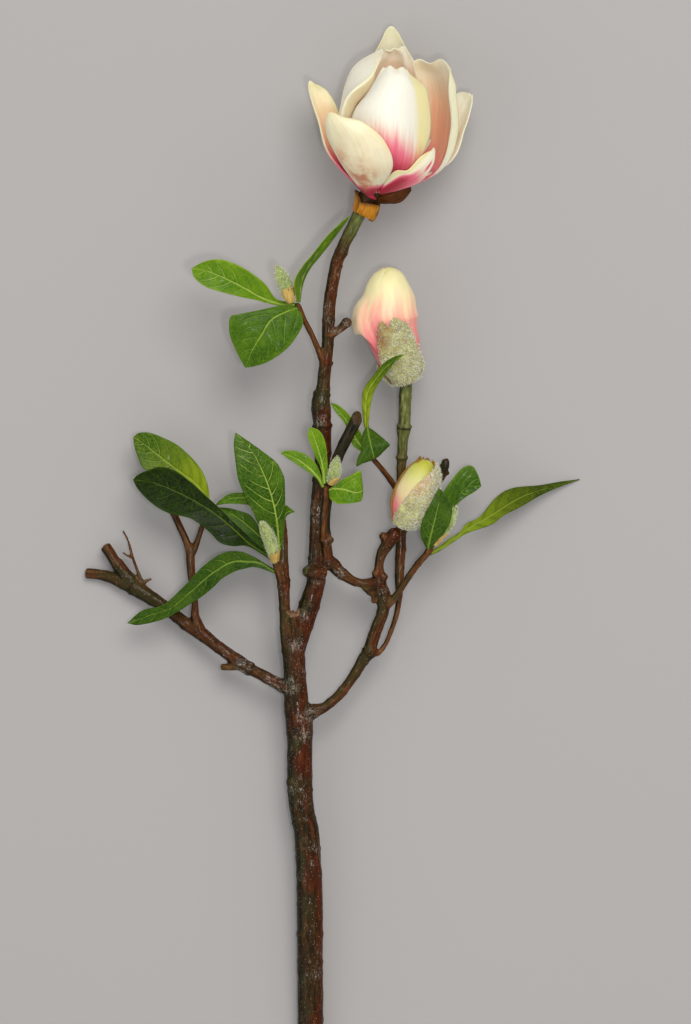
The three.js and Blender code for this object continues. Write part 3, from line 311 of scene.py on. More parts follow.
# Leaves, each by its middle line, and its left and right margins seen from above. lift is
# how far the left and the right margin rise, for each millimetre out from the middle. slot
# is the record's, and shade one of LEAF_SHADES where it isn't the slot's own. wave is the
# height and the number of the margin's waves, and quilt the swelling between the veins.
LEAVES = {
    "leaf_upper_left_outer": {
        "slot": "leaf", "shade": "young_leaf", "lift": [0.1, 0.22],
        "mid": [
            [-19, 130.6, 44.4], [-27, 131, 45.6], [-38, 134.5, 48.4], [-48, 140, 51.3], [-58, 145, 53],
            [-68, 149, 53], [-76.5, 150.5, 51.5],
        ],
        "left": [[-30, 130.3], [-38, 132.8], [-48, 134.5], [-60, 137.5], [-69, 140.5], [-75, 145.5]],
        "right": [[-30, 134], [-36, 142], [-46, 149.5], [-55, 154], [-62, 155.5], [-70, 154]],
    },
    "leaf_upper_left_broad": {
        "slot": "leaf", "lift": [-0.12, 0.08],
        "mid": [
            [-18.6, 128.6, 46.8], [-25, 126.5, 49.5], [-33, 122, 52], [-38, 114, 53], [-43, 106, 51],
            [-47, 96, 47],
        ],
        "left": [[-16.5, 126], [-15.5, 119.5], [-21, 110], [-27, 104], [-35, 99], [-42, 96.8]],
        "right": [
            [-28, 130], [-40, 127.5], [-50, 125.5], [-55, 124], [-56, 119], [-55.5, 114], [-54, 109.5],
            [-51, 103], [-48, 97.5],
        ],
    },
    "leaf_upper_left_edge": {
        "slot": "leaf", "shade": "young_leaf", "lift": [3, -3],
        "mid": [
            [-17.8, 132, 44.6], [-17, 138, 46], [-15, 147, 48], [-9.5, 156, 50], [-3, 164.5, 51],
            [4, 173, 51], [10.2, 179.3, 50.5],
        ],
        "left": [[-20, 143], [-15.6, 151.5], [-10.4, 158], [-4.8, 165], [2, 172.4], [8, 178]],
        "right": [[-15.6, 141], [-11.6, 150], [-6.4, 157], [-1.4, 163], [4.4, 170.6], [9, 177]],
    },
    "leaf_left_upright": {
        "slot": "dark_leaf", "shade": "veined_leaf", "lift": [0.12, 0.16],
        "mid": [
            [-27.8, -5, 32], [-28.5, -1, 34], [-29.3, 8, 37], [-30.8, 18, 39.5], [-34, 30, 42],
            [-38.5, 41, 43.5], [-44, 51, 44], [-52.5, 60.3, 43],
        ],
        "left": [
            [-31.5, -2], [-35, 3], [-40, 10], [-43, 17], [-47, 25], [-51, 35], [-52.5, 45], [-53.4, 54],
        ],
        "right": [
            [-26.4, 1], [-25.7, 8], [-25.2, 20], [-25.3, 33], [-26.5, 38], [-30, 44], [-37, 49.5],
            [-45, 55],
        ],
    },
    "leaf_left_dark": {
        "slot": "dark_leaf", "lift": [0.14, 0.1], "quilt": 0.04,
        "mid": [
            [-30.4, -10.5, 32], [-36, -6.5, 32.6], [-45, -0.5, 34], [-52, 6, 35.5], [-60, 13, 35.5],
            [-70, 20, 34.5], [-85, 28, 32], [-98, 33, 30], [-109, 34.5, 28],
        ],
        "left": [
            [-40, -5], [-47, -1.8], [-54, -2], [-61, 0], [-66, 5], [-72, 10], [-78, 13.5],
            [-90, 16.5], [-99, 22], [-106, 29],
        ],
        "right": [
            [-36, -4.6], [-40, -1.5], [-48, 6], [-58, 16], [-68, 25], [-78, 34], [-87, 40],
            [-94, 41.5], [-100, 40], [-106, 37.5],
        ],
    },
    "leaf_left_wavy": {
        "slot": "dark_leaf", "shade": "wavy_leaf", "lift": [0.1, 0.25], "wave": [1.3, 3],
        "mid": [
            [-28.8, -17, 31], [-33, -15, 31], [-38.5, -11.5, 30.5], [-46, -10.5, 30], [-55, -11, 29],
            [-66, -17.5, 27.5], [-77, -27, 25.5], [-88, -36, 23.5], [-98, -39.5, 21.5],
            [-112, -44.5, 18.5],
        ],
        "left": [
            [-35, -15.4], [-42, -13.5], [-48, -14.5], [-53, -16], [-60, -20], [-64, -24], [-70, -29],
            [-77, -33.5], [-84, -38], [-93, -42.5], [-106, -45.5],
        ],
        "right": [
            [-35, -12.4], [-42, -8], [-50, -5], [-60, -6], [-71, -13.5], [-80, -23], [-92, -34],
            [-104, -37.5],
        ],
    },
    "leaf_left_back": {
        "slot": "young_leaf", "shade": "sunlit_leaf", "lift": [0.1, 0.1], "quilt": 0.05,
        "mid": [
            [-67.6, 21, 15.2], [-70, 26.5, 17], [-75, 33, 19], [-86, 41, 21], [-95, 48, 21],
            [-104, 55, 20], [-109, 58, 19],
        ],
        "left": [[-72, 25], [-82, 30], [-95, 37], [-103, 40.5], [-106, 46], [-108.4, 53]],
        "right": [
            [-67.2, 28], [-69, 35], [-72, 41], [-78, 48], [-85, 54], [-93, 58], [-100, 60.5],
            [-106, 60.3],
        ],
    },
    "leaf_left_hidden": {
        "slot": "dark_leaf", "shade": "leaf", "lift": [0.1, 0.1],
        "mid": [
            [-28.5, -6, 29], [-33, -3, 28], [-40, 4, 26.6], [-48, 11, 25.6], [-56, 16.5, 25],
            [-64, 19.3, 24.6],
        ],
        "left": [[-38, -4], [-46, 3], [-54, 9], [-61, 15]],
        "right": [[-33, 0.5], [-38, 5], [-41, 11], [-45, 15.5], [-50, 17.3], [-57, 19.2]],
    },
    "leaf_left_arched": {
        "slot": "leaf", "lift": [0.1, 0.1],
        "mid": [
            [-27.8, 13.6, 31], [-33, 18, 33], [-40, 23, 34.5], [-48, 24.5, 34.5], [-56, 24, 33],
            [-64, 20.3, 31],
        ],
        "left": [[-34, 15.5], [-44, 20], [-48, 21], [-57, 21.3]],
        "right": [[-33, 21.5], [-43, 26], [-47, 27.4], [-55, 27], [-60, 24.3]],
    },
    "leaf_left_short": {
        "slot": "leaf", "lift": [0, 0],
        "mid": [[-26, 12.8, 32], [-24.8, 15.8, 34], [-22.6, 17.2, 35], [-20, 17, 35]],
        "left": [[-26, 18.4], [-24.6, 20.5], [-22.2, 18.8]],
        "right": [[-25, 14.6], [-23.8, 15.4], [-22.2, 16.2]],
    },
    "leaf_centre_upright": {
        "slot": "young_leaf", "lift": [0.2, 0.2],
        "mid": [
            [-3.6, 32.4, 42.2], [-4.2, 40, 43.4], [-6, 48, 45.4], [-9, 57, 46.8],
            [-11.5, 63.5, 46.8],
        ],
        "left": [[-5, 40], [-8.5, 47], [-10.8, 53], [-12.9, 59]],
        "right": [[-1.8, 41], [-2, 46], [-2.5, 52], [-4, 58], [-7, 62]],
    },
    "leaf_centre_left": {
        "slot": "young_leaf", "lift": [0.15, 0.1],
        "mid": [
            [-4, 30.5, 39.6], [-8, 37, 41.4], [-15, 43.5, 42.2], [-22, 47.5, 42.4], [-27.5, 49, 42],
        ],
        "left": [[-6.4, 33], [-9, 36.4], [-15, 40.6], [-22, 45]],
        "right": [[-5.4, 36.5], [-7, 41], [-9.6, 45], [-14, 48.5], [-20, 50.5], [-25.5, 50.4]],
    },
    "leaf_centre_right": {
        "slot": "young_leaf", "lift": [0.05, 0.05],
        "mid": [
            [-1, 28.6, 41.2], [2, 29.6, 42.6], [8, 29, 45.2], [13.5, 27.5, 45.8], [17.4, 28.6, 43.6],
            [15.4, 29.6, 40.8], [11, 29.6, 39.6],
        ],
        "left": [[2, 31.2], [6, 34.5], [11, 37], [15.8, 39.6], [16.4, 37], [13.6, 33]],
        "right": [[-0.6, 24.5], [3, 21.5], [8, 21.3], [14, 22], [16.6, 23], [15.6, 25.4], [13, 28]],
    },
    "leaf_right_tall": {
        "slot": "young_leaf", "shade": "sunlit_leaf", "lift": [-1, 1],
        "mid": [
            [19.5, 62.8, 37.4], [19.4, 67, 38.6], [19.3, 75, 40.8], [20.5, 83, 43.4], [25, 90, 45.6],
            [31, 97, 47.4], [40, 103.3, 48.4],
        ],
        "left": [[17.8, 67], [17.2, 72], [17, 80], [18.6, 85.6], [22.8, 91.4], [28, 97.4], [34, 101.6]],
        "right": [[20.8, 67], [21.5, 74], [23, 81], [27, 88.5], [32, 95], [36, 100]],
    },
    "leaf_right_folded": {
        "slot": "dark_leaf", "shade": "wavy_leaf", "lift": [0, 0],
        "mid": [
            [20.2, 63, 39.5], [21, 58, 42.8], [22.4, 52, 45.4], [23.4, 47.6, 44.6], [23.8, 46, 42.4],
            [23.6, 48, 39.8], [23.4, 51.4, 38.8],
        ],
        "left": [[23.4, 61.6], [29, 57], [32.3, 53.8], [30, 51.6], [27, 50.6]],
        "right": [[18.2, 61.8], [17, 58], [16.5, 51], [14.5, 46], [13.9, 41.7], [16.6, 44], [20, 48.4]],
    },
    "leaf_right_back": {
        "slot": "young_leaf", "lift": [0.3, 0.3],
        "mid": [
            [19.6, 50.6, 34.2], [17, 52.4, 33], [14, 56.8, 32.4], [10.5, 64, 32.6], [6, 70.5, 33],
            [0, 76.8, 33],
        ],
        "left": [[15, 51], [11.6, 54.4], [8, 64.6], [4, 70], [1.4, 73.6]],
        "right": [[17.6, 56], [16.5, 60.4], [13, 66], [9.6, 71], [4.4, 75.4]],
    },
    "leaf_far_right_upright": {
        "slot": "dark_leaf", "shade": "wavy_leaf", "lift": [0.1, 0.16],
        "mid": [
            [53.6, -3.6, 38], [53.8, -1, 40.6], [55.4, 6, 43.4], [57.4, 14, 44.4], [59.2, 22, 45],
            [59.3, 30, 44.6],
        ],
        "left": [[50.8, 0], [49.5, 3], [49.2, 8], [51, 14], [55, 22], [57.6, 27]],
        "right": [[58, 1], [62, 5], [65, 10], [66.5, 16], [66, 21], [62.4, 27]],
    },
    "leaf_far_right_behind": {
        "slot": "leaf", "lift": [0.08, 0.08],
        "mid": [
            [54.8, -3, 35.4], [57, 0, 34.2], [62, 10, 33.4], [68, 22, 34.4], [75, 30.5, 34.6],
            [82.7, 31, 33.6],
        ],
        "left": [
            [54.8, 6], [58, 18], [62, 28], [66, 34], [71, 40], [75, 42.3], [78.5, 41.5], [81.4, 36],
        ],
        "right": [[60, 3], [64, 12], [68, 20], [73, 24.4], [79, 28]],
    },
    "leaf_far_right_long": {
        "slot": "young_leaf", "shade": "olive_leaf", "lift": [0.2, 0.1],
        "mid": [
            [54.4, -6.2, 34], [60, -3.4, 32.6], [67, 1.6, 30.8], [76, 8, 27.8], [88, 14.8, 22.8],
            [104, 24.6, 14.6], [120, 30.2, 6.8], [137.2, 34.8, 0.4],
        ],
        "left": [
            [60, -1.6], [66, 2.8], [71, 5.8], [74.5, 10.4], [82, 14.4], [91, 25], [100, 30],
            [115, 31.6], [128, 33.8],
        ],
        "right": [
            [62, -3.4], [68, 0.6], [75, 5], [88, 9.6], [95, 14.6], [105, 19.8], [115, 25.6],
            [127, 31],
        ],
    },
}

# Shades of tepal: cream, lime, salmon, pink, crimson, and the light scattered inside
TEPAL_SHADES = {
    "tepal": (
        (255, 248, 226), (240, 226, 166), (248, 178, 148), (240, 112, 136), (166, 24, 52), 0.5,
    ),
    "bud tepal": (
        (248, 236, 192), (214, 212, 112), (250, 200, 164), (240, 138, 136), (200, 60, 76), 0,
    ),
    "green bud tepal": (
        (255, 244, 200), (190, 188, 62), (254, 202, 168), (244, 140, 138), (204, 62, 78), 0.5,
    ),
}

# Shades of dry scale: dark, light, and the roughness
BRACT_SHADES = {
    "ochre bract": ((128, 74, 12), (200, 136, 34), 0.4),
    "brown bract": ((36, 14, 2), (98, 50, 8), 0.4),
    # the foot of the bloom is near black as painted shade, in the hollow of the cup
    "foot of the bloom": ((28, 18, 6), (68, 42, 16), 0.45),
    "tan scale": ((122, 78, 22), (206, 162, 76), 0.5),
    "pale scale": ((150, 118, 54), (222, 190, 112), 0.5),
}

# Shades of the skin under the hairs, from its dark places to its light ones
FUR_SHADES = {
    "fur skin": ((150, 128, 52), (176, 166, 80), (206, 206, 122)),
    "green fur skin": ((96, 116, 34), (138, 156, 58), (180, 194, 100)),
}

# Shades of hair, dark and light
HAIR_SHADES = {
    "silver hair": ((184, 184, 118), (255, 255, 246)),
    "green hair": ((158, 172, 92), (248, 250, 216)),
    "stamen": ((206, 96, 118), (244, 214, 196)),
    "carpel": ((150, 160, 70), (214, 216, 130)),
}

# Tepals of the open bloom, each by its left margin, its middle line and its right margin
TEPALS = {
    "back": {
        "left": [[19, 191, 41], [6, 222, 22], [12, 251, 12], [24.4, 272, 12], [31, 283.6, 15]],
        "mid": [[22, 191, 40], [27, 222, 9], [31, 252, 0.2], [33, 270, 5], [33.2, 284.6, 15]],
        "right": [[25, 191, 41], [54, 218, 22], [56, 248, 12], [44, 270, 12], [35.4, 283.6, 15]],
    },
    "inner_back": {
        "left": [[20, 192, 42], [13, 220, 28], [17, 246, 25], [28, 268, 32], [29.5, 270.4, 34]],
        "mid": [[22.5, 192, 40], [28, 220, 17], [32, 250, 16], [35, 266, 26], [35, 271.6, 33]],
        "right": [[25, 192, 42], [44, 220, 25], [48, 246, 23], [46, 263, 31], [40.8, 273, 34]],
    },
    "left": {
        "left": [[19, 192, 41], [10, 215, 19], [10, 240, 15], [17, 260, 22], [27, 270.6, 33]],
        "mid": [[19, 193, 44], [5, 218, 36], [5.4, 240, 37], [12, 260, 40], [28.4, 271, 38]],
        "right": [[20, 193, 48], [7.5, 222, 59], [9.5, 242, 62], [22.5, 254.6, 58], [29, 268.6, 43]],
    },
    "front": {
        "left": [[21, 193, 48], [11, 215, 62], [11.6, 234.4, 66], [20.6, 247.6, 66], [28.6, 261, 65]],
        "mid": [[24, 193, 49.4], [29, 214, 73], [31, 238, 79], [34.6, 254, 74], [35, 260.2, 67.4]],
        "right": [
            [27, 193, 47.6], [43.6, 208, 62.5], [47, 228, 68], [45.8, 246, 70], [42, 259.4, 66.6],
        ],
    },
    "right_back": {
        "left": [[26, 192, 42], [38, 216, 22], [41, 240, 15], [42, 256, 19], [43, 265, 28]],
        "mid": [[28, 192, 42], [53, 210, 26], [60, 238, 21], [58, 256, 24], [55, 265, 31]],
        "right": [
            [30, 192, 44], [57.6, 202.4, 46], [66.4, 225, 49.5], [65.2, 248, 50], [66, 264.6, 44],
        ],
    },
    "far_right": {
        "left": [[28, 191, 39], [50, 212, 15], [60, 233, 11], [69, 247, 18], [76.6, 247, 26]],
        "mid": [[30, 191, 42], [58, 209, 26], [69, 228, 21], [74, 240, 22], [77.5, 246.6, 26]],
        "right": [[31, 192, 45], [65, 208, 35], [74, 228, 32], [77.5, 240, 30], [78, 246, 27]],
    },
    "far_left": {
        "left": [[19, 191, 46], [-2, 214, 47], [-8.4, 234, 44], [-12, 247, 39], [-12.2, 253, 36]],
        "mid": [[19, 191, 43], [0, 214, 36], [-4, 232, 31], [-9, 246, 31], [-11.8, 253.6, 35]],
        "right": [[20, 191, 40], [6, 216, 24], [4.4, 236, 22], [-1.6, 248, 27], [-8.6, 253, 34]],
    },
    "front_left": {
        "left": [[18.4, 191, 45.6], [6, 206, 58], [-2, 220, 66], [-3.8, 229, 72], [-2.4, 234.2, 76]],
        "mid": [[20.6, 190.4, 48], [17, 204, 70], [12, 218, 79], [6, 228, 82], [0.6, 235, 79]],
        "right": [[23, 190.6, 48.4], [33.5, 206, 70], [29, 220, 80], [18, 229.4, 83], [6, 233.4, 80]],
    },
    "front_right": {
        "left": [
            [23.6, 193.4, 49], [35, 203.6, 66], [42, 204.2, 69], [49, 211.6, 69], [55.6, 215.8, 64],
        ],
        "mid": [
            [24.6, 191.4, 47.6], [38, 198.6, 63], [46, 201.8, 66], [52.4, 208.4, 66],
            [56.6, 216, 63],
        ],
        "right": [
            [25.4, 190.4, 45], [38.6, 193.8, 54], [49.4, 198, 58], [55.8, 206.6, 61],
            [57.4, 215, 62],
        ],
    },
}

# How each tepal differs from its plain blade. left and right give the curl of that margin
# and the dip beside it, in millimetres to the front. point is how far its corners are
# rounded, wave the height and number of waves at its top, and crease the place across and
# the height of a lengthwise crease. fold carries the right margin on by so much, along
# fold_span of its length, and fold_tint makes the fold more yellow and more salmon.
# pink_to is the share of its length that the blush climbs. blots are stained places:
# share, place across, size, strength; on front_left the widest and faintest one is painted
# shade. They are rust brown on a rusty tepal. A lip is a greenish left margin without blush.
# faces_in says that its front is the bloom's inside.
TEPAL_LOOKS = {
    "back": {
        "seed": 1, "left": (1.2, 0), "right": (1.2, 0), "pink_to": 0.2, "salmon": 0.1,
        "lime": 0.3, "faces_in": True, "point": 0.03, "wave": (0, 0),
    },
    "inner_back": {
        "seed": 2, "left": (0, 0.5), "right": (0.6, 0), "pink_to": 0.3, "salmon": 1.1,
        "lime": 0.1, "faces_in": True, "wave": (0.6, 2.5), "crease": (0.6, 1.6), "point": 0.02,
    },
    "left": {
        "seed": 3, "left": (0, 0), "right": (1.4, 0), "pink_to": 0.3, "salmon": 0.25,
        "lime": 0.15, "faces_in": False, "fold": (4.6, -4.4, -7), "fold_tint": (0.2, 0.35),
        "fold_span": (0.12, 0.4, 0.66, 0.86),
    },
    "front": {
        "seed": 4, "left": (-0.8, 0), "right": (0.3, 0), "pink_to": 0.56, "salmon": 0.12,
        "lime": 0.02, "faces_in": False, "wave": (0.8, 2.1), "fold": (7.6, -1, -8.5),
        "fold_tint": (0.9, 0.3), "point": 0.0,
    },
    "right_back": {
        "seed": 5, "left": (0.5, 0), "right": (0.6, -1.2), "pink_to": 0.46, "salmon": 1.05,
        "lime": 0.2, "faces_in": True, "wave": (1.2, 1.9), "fold": (3.8, -0.4, -4.4),
        "fold_tint": (0.05, -1.1),
    },
    "far_right": {
        "seed": 6, "left": (0, 0), "right": (0.4, 0.5), "pink_to": 0.25, "salmon": 0.5,
        "lime": 0.1, "faces_in": True, "point": 0.04,
    },
    # far_left's lime is partly painted shade, tinting the whole tepal darker towards tan
    "far_left": {
        "seed": 7, "left": (0.7, 0), "right": (0, 0.4), "pink_to": 0.42, "salmon": 0.85,
        "lime": 0.5, "faces_in": True, "point": 0.06,
    },
    # front_left's lime and its widest, faintest blot are partly painted shade, darkening the whole
    # tepal towards tan; its other blots are its own rust streaks
    "front_left": {
        "seed": 8, "left": (-1, 0.3), "right": (0.9, -0.4), "pink_to": 0.15, "salmon": 0.8,
        "lime": 0.5, "faces_in": False, "rusty": True,
        "blots": (
            (0.17, 0, 0.16, 1.4), (0.3, -0.6, 0.12, 1.1), (0.22, -0.3, 0.12, 1.2),
            (0.14, 0.4, 0.1, 0.9), (0.4, 0, 1.2, 0.13),
        ),
        "wave": (0.5, 1), "point": 0.02,
    },
    "front_right": {
        "seed": 9, "left": (0.9, 0), "right": (0, 0), "pink_to": 0.9, "salmon": 0.1,
        "lime": 0.3, "faces_in": False, "blots": ((0.72, 0.5, 0.12, 0.8),), "lip": True,
    },
}

# Receptacle that the tepals grow from
RECEPTACLE = [
    [20.4, 189.6, 43.8, 4.2], [21.6, 191.6, 44.4, 5.4], [23.4, 195.6, 45.4, 5.2],
    [25.4, 201, 46.4, 3.6], [28, 209, 47.4, 0.9],
]

# Middle of the bloom: the short column of stamens and the cone of carpels above it
STAMEN_COLUMN = [[23.6, 196.4, 45.4, 3.8], [25, 200, 46.2, 4.2], [26.8, 204.6, 47, 3.6]]
CARPEL_CONE = [
    [26, 203.4, 46.8, 3.2], [27.8, 208, 47.8, 3.2], [29.8, 213.4, 48.8, 2.4],
    [31.6, 218.6, 49.8, 0.8],
]

# Scales at the foot of the bloom, and the dark foot that they stand on. Its near-black colour
# is painted shade, in the hollow of the cup.
BLOOM_FOOT = [
    [16.2, 181.5, 43.2, 3.4], [18, 185, 43.6, 4.4], [19.6, 188.5, 43.8, 5], [21.4, 191.4, 44, 5.6],
    [23, 193.8, 44.4, 6.4], [24.4, 196, 45, 6],
]
CUP_BRACT = {
    "stations": [
        [16.8, 178, 42.8, 4.6], [18.6, 181.4, 43.3, 5.9], [19.9, 185.6, 43.9, 6.1],
        [20.5, 190, 44.4, 6.3], [20.7, 194, 44.8, 6.6],
    ],
    "wraps": [
        wrapping(0.12, 0.96, 190, 76, 2.6, 0.4, 1.3),
        wrapping(0.16, 0.58, 84, 104, 7, 0.3, 1.2),
        wrapping(0.12, 0.62, 300, 112, 1.8, 0.3, 1.2),
    ],
}
BROWN_BRACT_BLADE = {
    "left": [[24.6, 190.6, 45], [32, 192.2, 50], [38, 196, 52], [42.6, 196.8, 51]],
    "mid": [[24.2, 188.6, 45], [32, 188.8, 50], [39.6, 192, 51.6], [43.6, 195.6, 51]],
    "right": [[24, 187, 43], [32, 186.2, 46.4], [38.6, 187.4, 48.4], [44, 193.4, 49.6]],
}

# Closed buds: stations along the axis, then the tepals or scales wrapped round it
PINK_BUD = {
    "stations": [
        [41.4, 87.2, 25.6, 2.6], [40.2, 91.4, 26.2, 6.6], [38.6, 98, 27, 10.4], [36, 106, 28, 12.4],
        [33.2, 115, 29, 13.8], [31, 123.5, 30, 16.2], [31.6, 133, 31, 14], [31.6, 141, 31.8, 11],
        [32, 147, 32.4, 7.4], [32.2, 151.4, 32.8, 1.8],
    ],
    "wraps": [
        wrapping(0.08, 0.985, 168, 81, 9, -0.7, 1.1, hem=(108, 150, 0.43), flare=2.6),
        wrapping(0.08, 0.99, 47, 84, 14, -0.8, 1.13),
        wrapping(0.08, 0.97, 280, 78, 6, -0.8, 0.6),
    ],
}
PINK_BUD_SCALES = [
    wrapping(
        0.02, 0.6, 86, 56, 1.6, 2.6, 3.5,
        nicks=((90, 8, 0.08), (122, 16, 0.05), (44, 22, 0.06)),
    ),
    wrapping(0.02, 0.36, 268, 114, 0.8, 2.7, 3.6),
]
SMALL_BUD = {
    "stations": [
        [37.4, 9, 31.2, 2.4], [38.8, 11.6, 31.6, 5.2], [41.4, 16, 32.4, 8.4], [44.2, 23, 33.4, 9.9],
        [47, 30.5, 34.4, 9.5], [50.2, 37.5, 35.4, 7.6], [52.4, 42.4, 36.1, 4.6],
        [53.6, 45, 36.6, 0.9],
    ],
    "wraps": [
        wrapping(0.08, 0.97, 150, 104, 8, -0.8, 0.9),
        wrapping(0.08, 0.97, 300, 76, 3, -0.8, 0.6),
    ],
}
SMALL_BUD_RIM = [
    wrapping(
        0.04, 0.99, 215, 62, 4, 1.1, 1.5,
        nicks=((178, 6, 0.06), (196, 7, 0.1), (215, 9, 0.07), (245, 7, 0.05)),
    ),
]
SMALL_BUD_CROWN = [[50, 37.2, 34.4, 8], [52, 41.6, 35, 6.4], [53.6, 46.6, 35.2, 4.6]]
SMALL_BUD_FRINGE = wrapping(
    0.02, 0.98, 236, 100, 14, -0.3, 0.2,
    nicks=(
        (150, 6, 0.3), (172, 7, 0.18), (196, 6, 0.32), (222, 8, 0.2), (250, 7, 0.3),
        (290, 9, 0.25),
    ),
)
SMALL_BUD_SCALES = [
    wrapping(0.02, 0.96, 0, 126, 1.6, 2.1, 3),
]

# Furry leaf buds, each with an ochre scale at its foot
LEAF_BUDS = {
    "leaf_bud_upper_left": {
        "stations": [
            [-21.9, 131.9, 48.2, 1.7], [-23.3, 135.8, 49.4, 3.1], [-25.1, 141.5, 50.6, 3.8],
            [-27.6, 147, 51.6, 3.2], [-29.7, 151.4, 52.6, 1.1],
        ],
        "wraps": [wrapping(
            0.02, 0.47, 72, 80, 5, -0.6, 0.6, nicks=((50, 9, 0.1), (76, 7, 0.14), (98, 9, 0.08)),
        )],
    },
    "leaf_bud_left": {
        "stations": [
            [-31.2, -11, 36.6, 1.5], [-31.6, -7, 38.3, 2.5], [-32.6, -2.6, 40.4, 3.2],
            [-34.2, 2.4, 42.6, 3.4], [-36.2, 7, 44.4, 2.8], [-37.9, 11, 45.8, 1.2],
        ],
        "wraps": [wrapping(
            0.06, 0.31, 55, 72, 12, -0.4, 1.1,
            nicks=((8, 9, 0.06), (30, 6, 0.09), (52, 8, 0.05), (74, 6, 0.08), (98, 9, 0.06)),
        )],
    },
    "leaf_bud_centre": {
        "stations": [
            [-0.6, 32.6, 42.6, 1.6], [0.9, 35.8, 44.2, 3], [2.1, 39.6, 45.4, 3.3],
            [2.7, 43.6, 46.4, 2.5], [3.5, 46.8, 47.2, 0.7],
        ],
        "wraps": [wrapping(0.02, 0.35, 20, 90, 2, -0.6, 0.8)],
    },
    "leaf_bud_right": {
        "stations": [
            [56.4, -1.4, 37.6, 1.2], [59, 2, 37.9, 1.8], [62.4, 7, 38.6, 2.6], [66, 13.6, 39.4, 2.9],
            [68.9, 19.6, 40, 0.6],
        ],
        "wraps": [wrapping(0.02, 0.5, 0, 100, 2, -0.6, 0.5)],
    },
}

# Shapes of the sprouts: length, half the width at the foot, bend, steps
HAIR = (1.6, 0.11, 0.45, 2)
STAMEN = (6.5, 0.6, 1.2, 3)
CARPEL = (3.8, 0.7, 1.5, 3)

# Sprouts: how many for each square metre, how far they lean, how much their directions
# differ, their smallest and largest size, and the seed of their places
SCALE_HAIRS = {
    "Density": 4.4e6, "Lean": 0.72, "Spread": 0.55, "Smallest": 0.6, "Largest": 1.5, "Seed": 3,
}
LEAF_BUD_HAIRS = {
    "Density": 5e6, "Lean": 0.74, "Spread": 0.5, "Smallest": 0.4, "Largest": 1.1, "Seed": 8,
}
STAMENS = {
    "Density": 6e5, "Lean": 0.5, "Spread": 0.25, "Smallest": 0.8, "Largest": 1.1, "Seed": 5,
}
CARPELS = {
    "Density": 4e5, "Lean": 0.5, "Spread": 0.15, "Smallest": 0.8, "Largest": 1.1, "Seed": 6,
}


# Curves and grids


def spline(points, shares):
    """Places on the smooth curve through points, at shares of its course from 0 to 1."""
    points = np.asarray(points, float)
    padded = np.vstack([2 * points[0] - points[1], points, 2 * points[-1] - points[-2]])
    place = np.clip(shares, 0, 1) * (len(points) - 1)
    first = np.minimum(place.astype(int), len(points) - 2)
    t = (place - first)[:, None]
    a, b, c, d = (padded[first + k] for k in range(4))
    return b + 0.5 * t * (c - a + t * (2 * a - 5 * b + 4 * c - d + t * (3 * (b - c) + d - a)))


def travelled(places, axis=0):
    """Distance along a line or a grid of places, from its start."""
    steps = np.linalg.norm(np.diff(places, axis=axis), axis=-1)
    return np.insert(np.cumsum(steps, axis=axis), 0, 0, axis=axis)


def even_spline(points, shares):
    """The same curve, at shares of its length."""
    course = np.linspace(0, 1, 400)
    reached = travelled(spline(points, course))
    return spline(points, np.interp(np.asarray(shares) * reached[-1], reached, course))


def smooth_step(low, high, value):
    t = np.clip((value - low) / (high - low), 0, 1)
    return t * t * (3 - 2 * t)


def ridge(distance, width):
    return np.exp(-((distance / width) ** 2))


def unit(vectors):
    return vectors / np.maximum(np.linalg.norm(vectors, axis=-1, keepdims=True), 1e-9)


def across_rails(left, mid, right, v):
    """Places on the curves through three rails, with v from -1 on the left to 1 on the right."""
    v = v[..., None]
    return left * v * (v - 1) / 2 + mid * (1 - v * v) + right * v * (v + 1) / 2


def from_middle(grid, middle):
    """Distance of each place of a grid from its middle column."""
    across = travelled(grid, 1)
    return across - across[:, middle, None]


def flat_places(across, along):
    """Places of a grid as if it lay flat."""
    return np.stack([across, along, np.zeros_like(across)], axis=2)


def grid_normals(grid):
    """Unit normals of a grid of places, on the side where across x along points."""
    along = np.gradient(grid, axis=0)
    across = np.gradient(grid, axis=1)
    normals = unit(np.cross(across, along))
    normals[-1] = normals[-2]
    return normals


def raised(grid, height):
    """A grid of places, pushed out along its normals."""
    return grid + grid_normals(grid) * height[..., None]


def soft_noise(places, size, seed=0.0):
    """Smooth noise from -1 to 1 at each place, with bumps of about the given size."""
    shift = np.array([seed * 7.31, seed * 3.17, seed * 5.77])
    flat = np.reshape(places, (-1, 3)) / size + shift
    values = [noise.noise(place) for place in flat]
    return np.reshape(values, np.shape(places)[:-1])


def blade_shell(grid, above, below):
    """Closed blade round a grid: its points are pushed out by above on the front and below
    on the back. Front points come first, then back points."""
    rows, columns = grid.shape[:2]
    normals = grid_normals(grid)
    front = grid + normals * np.broadcast_to(above, (rows, columns))[..., None]
    back = grid - normals * np.broadcast_to(below, (rows, columns))[..., None]
    number = np.arange(rows * columns).reshape(rows, columns)
    a, b = number[:-1, :-1].ravel(), number[:-1, 1:].ravel()
    c, d = number[1:, 1:].ravel(), number[1:, :-1].ravel()
    rim = np.concatenate([
        number[0, :-1], number[:-1, -1], number[-1, :0:-1], number[:0:-1, 0],
    ])
    after = np.roll(rim, -1)
    behind = rows * columns
    faces = np.vstack([
        np.column_stack([a, b, c, d]),
        np.column_stack([a, d, c, b]) + behind,
        np.column_stack([rim, rim + behind, after + behind, after]),
    ])
    return np.vstack([front.reshape(-1, 3), back.reshape(-1, 3)]), faces.tolist()


def both_faces(values):
    """The marks of a grid, once for its front and once for its back."""
    flat = values.reshape(-1, values.shape[2]) if values.ndim == 3 else values.ravel()
    return np.concatenate([flat, flat])


def stem_frame(axis):
    """Directions along, to the right of and in front of a line of places."""
    along = unit(np.gradient(axis, axis=0))
    side = unit(np.cross(along, [0, 0, 1]))
    return along, side, np.cross(side, along)


